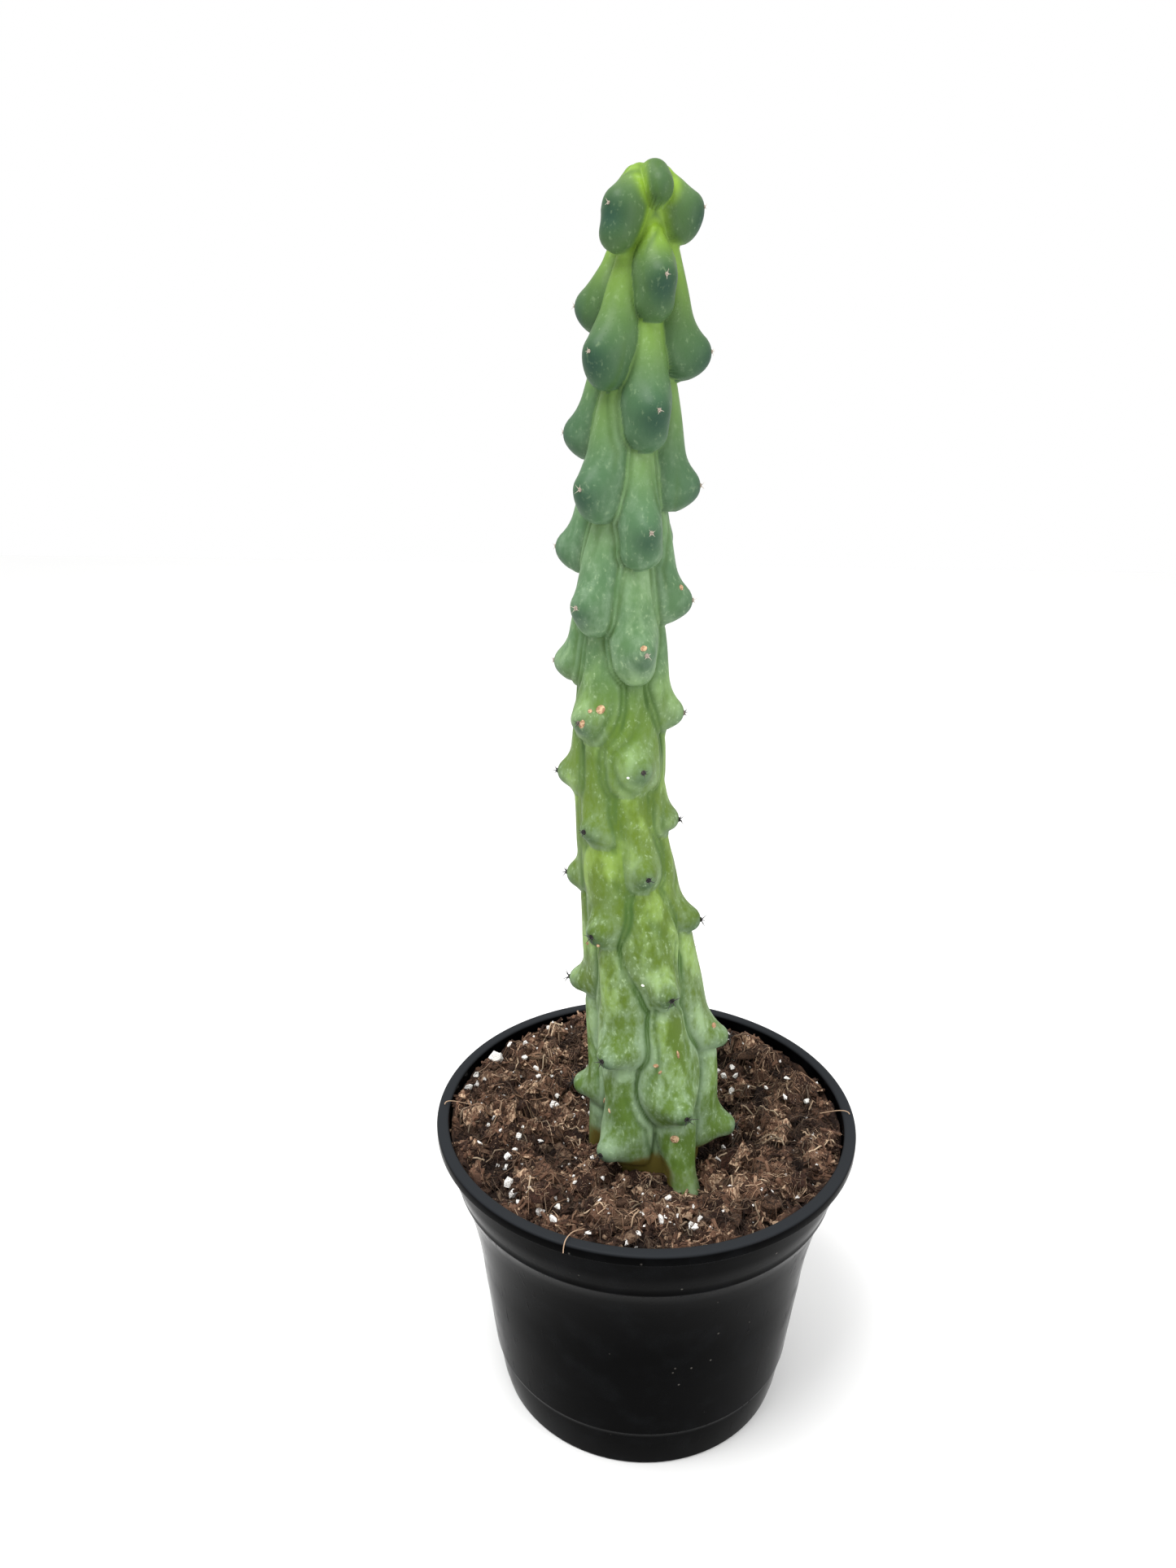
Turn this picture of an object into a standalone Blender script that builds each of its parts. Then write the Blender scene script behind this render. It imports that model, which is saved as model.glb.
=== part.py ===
"""Boobie cactus: a column cactus of six ribs broken into hanging knobs, in a black nursery pot of soil.

The origin is the middle of the pot's underside, +Z is up and the side seen first faces -Y.
Lengths are in metres. Heights on the stem are counted from the soil. Azimuth 0 faces -Y and grows towards +X.
"""
import math
import random

import bmesh
import bpy
import numpy as np
from mathutils import Matrix, Vector

MM = 0.001
SEED = 11
CLEARANCE = 0.45 * MM
SHARP_ANGLE = math.radians(50)

# Pot: a five inch moulded nursery pot
POT_HEIGHT = 95 * MM
RIM_RADIUS = 63.5 * MM
LIP_WIDTH = 3.6 * MM
LIP_SKIRT = 3.3 * MM
LIP_ROUND = 0.8 * MM
WALL = 1.3 * MM
FOOT_WIDTH = 4 * MM
RECESS = 2.5 * MM
FLOOR_TOP = RECESS + WALL
FLOOR_ROUND = 1 * MM
# Outside radius of the wall at depths below the rim, from under the lip to the foot
WALL_OUTSIDE = [(61.8, 3.3), (61.0, 6), (60.3, 10), (58.6, 15), (57.8, 17.6), (58.0, 18.3), (57.4, 19),
                (54.7, 28), (52.2, 40), (50.4, 55), (48.6, 70), (47.5, 80), (46.8, 81), (45.4, 91),
                (43.8, 95)]
WALL_OUTSIDE = [(radius * MM, depth * MM) for radius, depth in WALL_OUTSIDE]
# Depths at which the inside of the wall turns; the bead and the step show only outside
INSIDE_DEPTHS = [6, 10, 15, 28, 40, 55, 70, 91]
DRAIN_RADIUS = 4.5 * MM
DRAIN_CIRCLE = 26 * MM
DRAIN_COUNT = 6
DRAIN_SIDES = 12
DRILL_LENGTH = 3 * FLOOR_TOP
POT_SIDES = 48

# Soil
SOIL_DEPTH = 11 * MM
SOIL_LEVEL = POT_HEIGHT - SOIL_DEPTH
# The surface rises between two shares of the pot's inside radius, to a ring that is nearly level with the lip
SOIL_EDGE_RISE = 7.5 * MM
EDGE_RISE_STRETCH = (0.45, 0.88)
# Round the stem it dips
SOIL_DIP = 1.2 * MM
DIP_EDGE = (24 * MM, 36 * MM)
# Waves that make the lumps: height, phase per metre along X and along Y, and starting phase
SOIL_WAVES = [(0.4 * MM, 310, -270, 2.47), (0.4 * MM, 310, 270, 0.13), (0.56 * MM, 520, -410, 0),
              (0.4 * MM, 620, 830, 2)]
SOIL_WALL_HEIGHTS = [FLOOR_TOP / MM + 0.5, 25, 40, 55, 67, 80, 85, 88.5]
SOIL_FOOT_INSET = 1.5 * MM
SOIL_SIDES = 72
SOIL_TOP_RINGS = 9
STEM_HOLE_DEPTH = 24 * MM
PERLITE_COUNT = 30
PERLITE_RADIUS = (0.9 * MM, 2.4 * MM)
BARK_COUNT = 10
BARK_SIZE = (9 * MM, 4 * MM, 2.6 * MM)
GRAIN_ROUGHNESS = (0.8, 1.2)
GRAIN_TILT = 0.3
GRAIN_SPACING = 6 * MM
STEM_ROOM = 30 * MM
POT_ROOM = 52 * MM

# Stem: six ribs, every second one half a step higher
RIBS = 6
FIRST_RIB = math.radians(23)
AREOLES_LOW = [10, 40.5, 78, 108, 138.5, 168.5, 197, 228, 259]
AREOLES_HIGH = [-6, 21.5, 58, 92, 122.5, 153.5, 183.5, 211.5, 240.5]
YOUNGEST_HIGH = [264.5, 259.5, 260.5]
RIB_SHIFT = [4.8, 1, 0, 0.4, -1.5, 1]
STEM_TIP = 271 * MM
CORE_END = 12 * MM
STEM_FOOT = (2.5 * MM, -4 * MM)
LEAN_LEFT = 11.8 * MM
LEFT_STRETCH = (20 * MM, 125 * MM)
LEAN_BACK = 4.8 * MM
BACK_STRETCH = (165 * MM, 280 * MM)
# How far the knob tips and the saddles between them stand from the stem's middle, and the core's radius
TIP_REACH = [(0, 25), (23, 24.5), (44, 22.5), (58, 22.5), (79, 18.8), (108, 15.8), (124, 17.4), (139, 16.8),
             (153, 17.8), (168, 18), (183, 17.4), (197, 18), (212, 16.4), (228, 17.9), (241, 15.2),
             (258, 13.4)]
SADDLE_REACH = [(0, 20), (52, 18.6), (79, 15), (106, 12.3), (133, 11.9), (163, 11.4), (193, 10.6),
                (223, 10.4), (256, 7.6)]
CORE_RADIUS = [(0, 14), (50, 14), (80, 12.4), (110, 11), (150, 10.1), (200, 9.1), (240, 7.6), (259, 6)]
# The round end of each drop, and how far the small tip with the areole stands out of it
DROP_RADIUS = [(0, 8.5), (60, 8.2), (120, 7.6), (155, 6.4), (183, 5.5), (212, 5.5), (241, 5), (260, 4.2)]
NIPPLE_LENGTH = [(0, 5.2), (60, 4.8), (110, 3.6), (150, 2.6), (200, 2), (241, 2), (260, 1.4)]
NIPPLE_ROOT = [(0, 6.5), (45, 6.5), (90, 4.4), (150, 4.2), (241, 4.6), (260, 3.4)]
NIPPLE_RADIUS = [(0, 3.4), (80, 3.8), (110, 3.2), (150, 3.2), (200, 3.5), (260, 3.8)]
NIPPLE_BLEND = 4 * MM
NIPPLE_START = 0.5
NIPPLE_RISE = 2 * MM
DROP_FULLNESS = 0.16
# How far the drops hang below their areoles, rib by rib, and how much lower the crown's drops hang
DROP_BELOW_AREOLE = [10.3, 7, 7, 7, 7, 9]
CROWN_SAG = 2 * MM
NECK_RADIUS = [(0, 7), (100, 5.4), (150, 4.4), (200, 4), (236, 3.4), (254, 2.2)]
# The three youngest drops stand round the tip: how far they reach, their radius and how far they hang
YOUNGEST = {"reach": 9.8 * MM, "radius": 2.6 * MM, "below": 3.8 * MM}
TIP_NECK = {"reach": 3 * MM, "height": 266.3 * MM, "radius": 2.7 * MM}
CREASE_SOFTNESS = 1.2 * MM
# Rays from the middle line find the skin. They droop from a stretch of heights on, and step in from outside
RAY_DROOP = math.radians(18)
DROOP_EDGE = (40 * MM, 140 * MM)
RAY_START = 34 * MM
RAY_END = 1 * MM
RAY_STRIDE = 0.8
RAY_STEPS = 60
STEM_SIDES = 48
# Rows of the mesh from one tier of areoles to the next: at the tips, above them, and under the next drops
ROW_STEPS = [0, 0.25, 0.5, 0.72]
ROW_REACH = 16 * MM
TOP_ROW = 247 * MM
APEX_ROWS = 10
PLUG_ROWS = [22, 12, 3]
PLUG_TAPER = 0.8

# Spines: three short ones on every areole
SPINES_PER_AREOLE = 3
SPINE_LENGTH = [(0, 2.8), (150, 2.4), (200, 1.7), (264, 1.1)]
SPINE_THICKNESS = 0.5 * MM
SPINE_POINT = 0.05 * MM
SPINE_SUNK = 1.2 * MM
SPINE_SPACING = 0.3 * MM
SPINE_LIFT = math.radians(30)
SPINE_UNEVENNESS = 0.12
SPINE_LENGTH_RANGE = (0.8, 1.15)


def along(table, height):
    """Value at a height in metres, between the (height, value) pairs of a table in millimetres."""
    heights, values = zip(*table)
    return np.interp(height / MM, heights, values) * MM


def ease(value, start, end):
    """Smooth step from 0 at start to 1 at end."""
    t = np.clip((value - start) / (end - start), 0, 1)
    return t * t * (3 - 2 * t)


def stem_middle(height):
    """Where the stem's middle line stands at a height: it bows to the left and comes back near the tip."""
    x = STEM_FOOT[0] - LEAN_LEFT * ease(height, *LEFT_STRETCH) + LEAN_BACK * ease(height, *BACK_STRETCH)
    return np.stack([x, np.full_like(x, STEM_FOOT[1])])


def on_stem(azimuth, reach, height):
    """Point at a distance from the stem's middle line."""
    x, y = stem_middle(np.asarray(height, dtype=float))
    return np.array([x + reach * math.sin(azimuth), y - reach * math.cos(azimuth), height])


def rounded_cone(points, start, end, start_radius, end_radius, fullness=0, out=0):
    """Distance to a ball that grows as it slides from start to end. Fullness widens only its middle."""
    axis = end - start
    t = np.clip((points - start) @ axis / (axis @ axis), 0, 1)
    wider = 4 * fullness * t * (1 - t)
    nearest = start + t[..., None] * axis - wider[..., None] * out
    radius = start_radius + (end_radius - start_radius) * t + wider
    return np.linalg.norm(points - nearest, axis=-1) - radius


def blend(a, b, width):
    """Union of two distances with a soft fillet."""
    h = np.clip(width - np.abs(a - b), 0, None) / width
    return np.minimum(a, b) - h * h * width / 4


def make_drops():
    """One hanging drop for each areole: its azimuth, height, neck, round end and tip."""
    drops = []
    for rib in range(RIBS):
        azimuth = FIRST_RIB + rib * 2 * math.pi / RIBS
        heights = AREOLES_LOW if rib % 2 else AREOLES_HIGH
        heights = [(height + RIB_SHIFT[rib]) * MM for height in heights]
        if rib % 2 == 0:
            heights.append(YOUNGEST_HIGH[rib // 2] * MM)
        for height, above in zip(heights, heights[1:] + [None]):
            radius = along(DROP_RADIUS, height)
            reach = along(TIP_REACH, height)
            body_reach = reach - along(NIPPLE_LENGTH, height)
            below = DROP_BELOW_AREOLE[rib] * MM
            if above is None:
                below += CROWN_SAG
                neck_reach, neck_height, neck_radius = TIP_NECK.values()
                if rib % 2 == 0:
                    reach = body_reach = YOUNGEST["reach"]
                    radius = YOUNGEST["radius"]
                    below = YOUNGEST["below"]
            else:
                neck_height = above - below
                neck_radius = along(NECK_RADIUS, neck_height)
                neck_reach = along(SADDLE_REACH, neck_height) - neck_radius
            end_height = height - below + radius
            nipple_radius = min(along(NIPPLE_RADIUS, height), radius)
            drops.append({
                "azimuth": azimuth,
                "height": height,
                "out": np.array([math.sin(azimuth), -math.cos(azimuth), 0]),
                "neck": on_stem(azimuth, neck_reach, neck_height),
                "neck_radius": neck_radius,
                "end": on_stem(azimuth, body_reach - radius, end_height),
                "radius": radius,
                "tip": on_stem(azimuth, reach - nipple_radius, height),
                "tip_radius": nipple_radius,
                "tip_root": on_stem(azimuth, NIPPLE_START * reach, height + NIPPLE_RISE),
                "tip_root_radius": min(along(NIPPLE_ROOT, height), radius),
            })
    return drops


def stem_distance(points, drops):
    """How far points are from the stem's skin: the core and the drops, joined with a crisp crease."""
    height = points[..., 2]
    x, y = stem_middle(height)
    over = np.clip(height - (STEM_TIP - CORE_END), 0, None)
    nearest = np.sqrt((points[..., 0] - x) ** 2 + (points[..., 1] - y) ** 2 + over ** 2)
    nearest = nearest - along(CORE_RADIUS, height)
    second = np.full_like(nearest, 1.0)
    for drop in drops:
        body = rounded_cone(points, drop["neck"], drop["end"], drop["neck_radius"], drop["radius"],
                            DROP_FULLNESS * drop["radius"], drop["out"])
        tip = rounded_cone(points, drop["tip_root"], drop["tip"],
                           drop["tip_root_radius"], drop["tip_radius"])
        distance = blend(body, tip, NIPPLE_BLEND)
        second = np.minimum(second, np.maximum(nearest, distance))
        nearest = np.minimum(nearest, distance)
    return blend(nearest, second, CREASE_SOFTNESS)


def cast(azimuths, start_heights, droops, drops):
    """Points of the skin on rays from the stem's middle line, for arrays of azimuths, heights and droops."""
    origins = np.stack([*stem_middle(start_heights), start_heights], axis=-1)
    flat = np.cos(droops)
    rays = np.stack([flat * np.sin(azimuths), -flat * np.cos(azimuths), np.sin(droops)], axis=-1)
    reach = np.full(start_heights.shape, RAY_START)
    for _ in range(RAY_STEPS):
        inward = RAY_STRIDE * stem_distance(origins + reach[..., None] * rays, drops)
        reach = np.clip(reach - inward, RAY_END, None)
    return origins + reach[..., None] * rays


def stem_rows():
    """Start height and droop of every row of rays, from the soil to the tip."""
    tiers = [0] + sorted(h * MM for h in AREOLES_LOW + AREOLES_HIGH if 0 < h * MM < TOP_ROW) + [TOP_ROW]
    rows = [low + (high - low) * step for low, high in zip(tiers, tiers[1:]) for step in ROW_STEPS]
    rows = np.array(rows)
    droops = -RAY_DROOP * ease(rows, *DROOP_EDGE)
    rows -= ROW_REACH * np.tan(droops)
    fan = np.linspace(0, 1, APEX_ROWS + 1)[1:]
    fan_heights = rows[-1] + (STEM_TIP - CORE_END - rows[-1]) * np.sqrt(fan)
    fan_droops = -RAY_DROOP + (math.pi / 2 + RAY_DROOP) * fan
    return np.concatenate([rows, fan_heights]), np.concatenate([droops, fan_droops])


def section_at_soil(azimuths, drops):
    """Distance of the skin from the stem's middle, at soil level."""
    flat = np.zeros_like(azimuths)
    hits = cast(azimuths, flat, flat, drops)
    return np.hypot(hits[..., 0] - STEM_FOOT[0], hits[..., 1] - STEM_FOOT[1])


def sphere_grid(sides, rows):
    """A UV sphere's bmesh and its vertices as a grid of rows by sides, with the two poles apart."""
    mesh = bmesh.new()
    bmesh.ops.create_uvsphere(mesh, u_segments=sides, v_segments=rows + 1, radius=1)
    verts = sorted(mesh.verts, key=lambda v: v.co.z)
    grid = []
    for row in range(rows):
        ring = verts[1 + row * sides:1 + (row + 1) * sides]
        grid.append(sorted(ring, key=lambda v: round(math.atan2(v.co.x, -v.co.y) % (2 * math.pi), 5)))
    return mesh, verts[0], grid, verts[-1]


def finish(name, mesh, skin, collection):
    """Put a bmesh in the scene as a named object with its material."""
    data = bpy.data.meshes.new(name)
    mesh.to_mesh(data)
    mesh.free()
    data.materials.append(skin)
    thing = bpy.data.objects.new(name, data)
    collection.objects.link(thing)
    return thing


def material(name, colour, roughness, metallic=0.0):
    """A Principled BSDF material."""
    made = bpy.data.materials.new(name)
    made.use_nodes = True
    shader = made.node_tree.nodes["Principled BSDF"]
    shader.inputs["Base Color"].default_value = (*colour, 1)
    shader.inputs["Roughness"].default_value = roughness
    shader.inputs["Metallic"].default_value = metallic
    return made


def apply_modifiers(thing):
    """Replace an object's mesh by its evaluated mesh."""
    depsgraph = bpy.context.evaluated_depsgraph_get()
    evaluated = bpy.data.meshes.new_from_object(thing.evaluated_get(depsgraph))
    thing.modifiers.clear()
    thing.data = evaluated


def fuse(thing, extras):
    """Union an object with a collection of small solids, then remove them."""
    union = thing.modifiers.new("Fuse", "BOOLEAN")
    union.operation = "UNION"
    union.operand_type = "COLLECTION"
    union.collection = extras
    union.solver = "EXACT"
    apply_modifiers(thing)
    for extra in list(extras.objects):
        bpy.data.objects.remove(extra)
    bpy.data.collections.remove(extras)


def pot_inside(height):
    """Inside radius of the pot at a height over its underside."""
    turns = [turn for turn in WALL_OUTSIDE if round(turn[1] / MM, 1) in INSIDE_DEPTHS]
    radii, depths = zip(*turns)
    return np.interp(POT_HEIGHT - height, depths, radii) - WALL


def make_pot(parts, cutters):
    """Turned wall with a flat lip, and a raised floor with drain holes."""
    heights = [POT_HEIGHT - depth * MM for depth in reversed(INSIDE_DEPTHS)]
    inside = [(pot_inside(height), height) for height in heights]
    lip_inner = RIM_RADIUS - LIP_WIDTH
    outside = [(radius, POT_HEIGHT - depth) for radius, depth in WALL_OUTSIDE]
    foot = WALL_OUTSIDE[-1][0]
    profile = [(0, FLOOR_TOP), (inside[0][0] - FLOOR_ROUND, FLOOR_TOP)] + inside
    profile += [(lip_inner, POT_HEIGHT - LIP_ROUND), (lip_inner + LIP_ROUND, POT_HEIGHT)]
    profile += [(RIM_RADIUS - LIP_ROUND, POT_HEIGHT), (RIM_RADIUS, POT_HEIGHT - LIP_ROUND)]
    profile += [(RIM_RADIUS, POT_HEIGHT - LIP_SKIRT)] + outside
    profile += [(foot - FOOT_WIDTH, 0), (foot - FOOT_WIDTH - FLOOR_ROUND, RECESS), (0, RECESS)]

    mesh = bmesh.new()
    verts = [mesh.verts.new((radius, 0, height)) for radius, height in profile]
    for pair in zip(verts, verts[1:]):
        mesh.edges.new(pair)
    data = bpy.data.meshes.new("pot")
    mesh.to_mesh(data)
    mesh.free()
    data.materials.append(material("pot_plastic", (0.012, 0.013, 0.014), 0.22))
    pot = bpy.data.objects.new("pot", data)
    parts.objects.link(pot)
    turn = pot.modifiers.new("Turn", "SCREW")
    turn.steps = turn.render_steps = POT_SIDES
    turn.use_merge_vertices = True
    turn.merge_threshold = 0.00005
    turn.use_smooth_shade = True

    turns = [2 * math.pi * index / DRAIN_COUNT for index in range(DRAIN_COUNT)]
    places = [(DRAIN_CIRCLE * math.cos(turned), DRAIN_CIRCLE * math.sin(turned)) for turned in turns]
    cutter_skin = material("cutter", (1, 0, 0), 0.5)
    for index, (x, y) in enumerate(places + [(0, 0)]):
        drill = bmesh.new()
        where = Matrix.Translation((x, y, FLOOR_TOP / 2))
        bmesh.ops.create_cone(drill, cap_ends=True, segments=DRAIN_SIDES, radius1=DRAIN_RADIUS,
                              radius2=DRAIN_RADIUS, depth=DRILL_LENGTH, matrix=where)
        cutter = finish(f"drain_cutter_{index}", drill, cutter_skin, cutters)
        cutter.hide_render = True
        cutter.display_type = "WIRE"
        cut = pot.modifiers.new(f"Drain {index}", "BOOLEAN")
        cut.operation = "DIFFERENCE"
        cut.object = cutter
        cut.solver = "EXACT"
    return pot


def soil_lift(x, y):
    """Height of the soil's surface over its level."""
    rise = SOIL_EDGE_RISE * ease(np.hypot(x, y) / pot_inside(SOIL_LEVEL), *EDGE_RISE_STRETCH)
    lumps = sum(lump * np.sin(by_x * x + by_y * y + phase) for lump, by_x, by_y, phase in SOIL_WAVES)
    apart = ease(np.hypot(x - STEM_FOOT[0], y - STEM_FOOT[1]), *DIP_EDGE)
    return rise + apart * lumps - SOIL_DIP * (1 - apart)


def make_soil(parts, drops):
    """Filling of the pot with a lumpy top and a plain hole that the stem stands in."""
    azimuths = np.arange(SOIL_SIDES) * 2 * math.pi / SOIL_SIDES
    hole = section_at_soil(azimuths, drops) + CLEARANCE
    wall_heights = np.array(SOIL_WALL_HEIGHTS) * MM
    inward = np.linspace(0, 1, SOIL_TOP_RINGS + 1)
    hole_depths = [0.5, 1]
    rings = len(wall_heights) + len(inward) + len(hole_depths)
    mesh, bottom, grid, top = sphere_grid(SOIL_SIDES, rings)
    sine, cosine = np.sin(azimuths), -np.cos(azimuths)
    floor = SOIL_LEVEL - STEM_HOLE_DEPTH - CLEARANCE

    bottom.co = (0, 0, wall_heights[0])
    top.co = (*STEM_FOOT, floor)
    row = 0
    for height in wall_heights:
        radius = pot_inside(height) - CLEARANCE - (SOIL_FOOT_INSET if row == 0 else 0)
        for vert, s, c in zip(grid[row], sine, cosine):
            vert.co = (radius * s, radius * c, height)
        row += 1
    rim = pot_inside(SOIL_LEVEL)
    edge = pot_inside(SOIL_LEVEL + soil_lift(rim * sine, rim * cosine)) - CLEARANCE
    for share in inward:
        x = (1 - share) * edge * sine + share * (STEM_FOOT[0] + hole * sine)
        y = (1 - share) * edge * cosine + share * (STEM_FOOT[1] + hole * cosine)
        z = SOIL_LEVEL + soil_lift(x, y)
        for vert, place in zip(grid[row], zip(x, y, z)):
            vert.co = place
        row += 1
    for depth in hole_depths:
        width = hole * (1 - (1 - PLUG_TAPER) * depth)
        for vert, x, y in zip(grid[row], width * sine, width * cosine):
            vert.co = (STEM_FOOT[0] + x, STEM_FOOT[1] + y, SOIL_LEVEL + (floor - SOIL_LEVEL) * depth)
        row += 1
    return finish("soil", mesh, material("potting_soil", (0.06, 0.03, 0.017), 0.95), parts)


def make_grains():
    """Perlite grains and bark chips that lie half sunk in the soil, clear of the stem and of the pot."""
    draw = random.Random(SEED)
    grains = bpy.data.collections.new("grains")
    bpy.context.scene.collection.children.link(grains)
    skin = material("perlite_and_bark", (0.5, 0.45, 0.38), 0.9)
    placed = []
    while len(placed) < PERLITE_COUNT + BARK_COUNT:
        x, y = draw.uniform(-POT_ROOM, POT_ROOM), draw.uniform(-POT_ROOM, POT_ROOM)
        in_pot = math.hypot(x, y) < POT_ROOM and math.dist((x, y), STEM_FOOT) > STEM_ROOM
        apart = min((math.dist((x, y), other) for other in placed), default=1)
        if not in_pot or apart < GRAIN_SPACING:
            continue
        where = Matrix.Translation((x, y, SOIL_LEVEL + float(soil_lift(x, y))))
        where @= Matrix.Rotation(draw.uniform(0, math.pi), 4, "Z")
        where @= Matrix.Rotation(draw.uniform(-GRAIN_TILT, GRAIN_TILT), 4, "X")
        grain = bmesh.new()
        if len(placed) < PERLITE_COUNT:
            radius = draw.uniform(*PERLITE_RADIUS)
            bmesh.ops.create_icosphere(grain, subdivisions=1, radius=radius)
            for vert in grain.verts:
                vert.co *= draw.uniform(*GRAIN_ROUGHNESS)
        else:
            scale = Vector(side * draw.uniform(*GRAIN_ROUGHNESS) for side in BARK_SIZE)
            bmesh.ops.create_cube(grain, size=1, matrix=Matrix.Diagonal((*scale, 1)))
        bmesh.ops.transform(grain, matrix=where, verts=grain.verts)
        finish(f"grain_{len(placed)}", grain, skin, grains)
        placed.append((x, y))
    return grains


def make_stem(parts, drops):
    """The skin cast on rays, closed below by a plain plug that stands in the soil."""
    heights, droops = stem_rows()
    rows = len(PLUG_ROWS) + len(heights) - 1
    mesh, bottom, grid, top = sphere_grid(STEM_SIDES, rows)
    azimuths = FIRST_RIB + np.arange(STEM_SIDES) * 2 * math.pi / STEM_SIDES
    around, up = np.meshgrid(azimuths, heights[:-1])
    _, tilt = np.meshgrid(azimuths, droops[:-1])
    skin = cast(around, up, tilt, drops)
    section = section_at_soil(azimuths, drops)
    for row, depth in enumerate(PLUG_ROWS):
        width = section * (1 - (1 - PLUG_TAPER) * depth * MM / STEM_HOLE_DEPTH)
        for vert, azimuth, reach in zip(grid[row], azimuths, width):
            vert.co = Vector(on_stem(azimuth, reach, -depth * MM)) + Vector((0, 0, SOIL_LEVEL))
    for ring, points in zip(grid[len(PLUG_ROWS):], skin):
        for vert, point in zip(ring, points):
            vert.co = (point[0], point[1], point[2] + SOIL_LEVEL)
    bottom.co = (*STEM_FOOT, SOIL_LEVEL - PLUG_ROWS[0] * MM)
    peak = cast(np.array([0.0]), heights[-1:], droops[-1:], drops)[0]
    top.co = (peak[0], peak[1], peak[2] + SOIL_LEVEL)
    return finish("cactus", mesh, material("cactus_skin", (0.13, 0.27, 0.09), 0.5), parts)


def make_spines(cactus, drops):
    """Short three sided needles that fan out from each areole."""
    bpy.context.view_layer.update()
    draw = random.Random(SEED)
    spines = bpy.data.collections.new("spines")
    bpy.context.scene.collection.children.link(spines)
    skin = material("cactus_skin_spines", (0.1, 0.08, 0.06), 0.6)
    for number, drop in enumerate(drops):
        if drop["height"] < 0:
            continue
        azimuth = drop["azimuth"]
        out = Vector(drop["out"])
        side = Vector((math.cos(azimuth), math.sin(azimuth), 0))
        up = Vector((0, 0, 1))
        far = Vector(on_stem(azimuth, RAY_START, drop["height"])) + SOIL_LEVEL * up
        spot = cactus.ray_cast(far, -out)[1]
        for index in range(SPINES_PER_AREOLE):
            unevenness = draw.uniform(-SPINE_UNEVENNESS, SPINE_UNEVENNESS)
            turned = 2 * math.pi * (index + unevenness) / SPINES_PER_AREOLE + math.pi / 2
            length = along(SPINE_LENGTH, drop["height"]) * draw.uniform(*SPINE_LENGTH_RANGE) + SPINE_SUNK
            spread = math.cos(turned) * side + math.sin(turned) * up
            direction = (math.sin(SPINE_LIFT) * out + math.cos(SPINE_LIFT) * spread).normalized()
            middle = spot - SPINE_SUNK * out + SPINE_SPACING * spread + direction * length / 2
            where = Matrix.Translation(middle) @ direction.to_track_quat("Z", "Y").to_matrix().to_4x4()
            needle = bmesh.new()
            bmesh.ops.create_cone(needle, cap_ends=True, segments=3, radius1=SPINE_THICKNESS / 2,
                                  radius2=SPINE_POINT, depth=length, matrix=where)
            finish(f"spine_{number}_{index}", needle, skin, spines)
    return spines


def build():
    """Clear the scene and make the pot, the soil and the stem."""
    for thing in list(bpy.data.objects):
        bpy.data.objects.remove(thing)
    parts = bpy.data.collections.new("boobie_cactus")
    cutters = bpy.data.collections.new("cutters")
    for collection in (parts, cutters):
        bpy.context.scene.collection.children.link(collection)
    drops = make_drops()
    make_pot(parts, cutters)
    fuse(make_soil(parts, drops), make_grains())
    cactus = make_stem(parts, drops)
    fuse(cactus, make_spines(cactus, drops))
    for thing in parts.objects:
        thing.data.shade_smooth()
        thing.data.set_sharp_from_angle(angle=SHARP_ANGLE)


build()
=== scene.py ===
"""Looks of a boobie cactus in its nursery pot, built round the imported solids.

Metres, +Z up. The side that the photograph shows faces -Y. Heights on the stem are counted from the soil.
"""
import math
import random

import bmesh
import bpy
import numpy as np
from mathutils import Matrix, Vector
from mathutils.bvhtree import BVHTree


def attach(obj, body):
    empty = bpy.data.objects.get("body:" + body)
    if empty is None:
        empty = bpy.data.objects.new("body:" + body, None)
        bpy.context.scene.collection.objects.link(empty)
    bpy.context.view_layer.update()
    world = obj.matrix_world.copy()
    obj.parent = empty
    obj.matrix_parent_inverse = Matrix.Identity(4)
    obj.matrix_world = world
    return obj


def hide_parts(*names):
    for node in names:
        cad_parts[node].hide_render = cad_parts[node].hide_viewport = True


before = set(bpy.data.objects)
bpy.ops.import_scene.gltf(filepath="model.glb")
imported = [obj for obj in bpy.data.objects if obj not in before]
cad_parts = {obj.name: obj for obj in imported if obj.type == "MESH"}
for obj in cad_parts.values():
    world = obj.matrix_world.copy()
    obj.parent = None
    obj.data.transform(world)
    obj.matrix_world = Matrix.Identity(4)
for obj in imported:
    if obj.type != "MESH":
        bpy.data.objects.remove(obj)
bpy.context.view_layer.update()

# Camera: a phone's main lens, 0.22 m over the pot's lip and turned down by some twenty degrees. Its frame
# is worked out in the photograph's own pixels, so that small things can be set where they are seen.
MM = 0.001
PHOTO_WIDTH, PHOTO_HEIGHT = 1445, 1927
FOCAL_PIXELS = 1448
SENSOR_MM = 36
EYE = Vector((0, -305 * MM, 314.4 * MM))
PITCH, YAW, ROLL = math.radians(20.45), math.radians(3.38), math.radians(0.26)

ahead = Vector((-math.sin(YAW) * math.cos(PITCH), math.cos(YAW) * math.cos(PITCH), -math.sin(PITCH)))
level = Vector((math.cos(YAW), math.sin(YAW), 0))
above = level.cross(ahead)
rightward = math.cos(ROLL) * level + math.sin(ROLL) * above
upward = math.cos(ROLL) * above - math.sin(ROLL) * level

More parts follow.
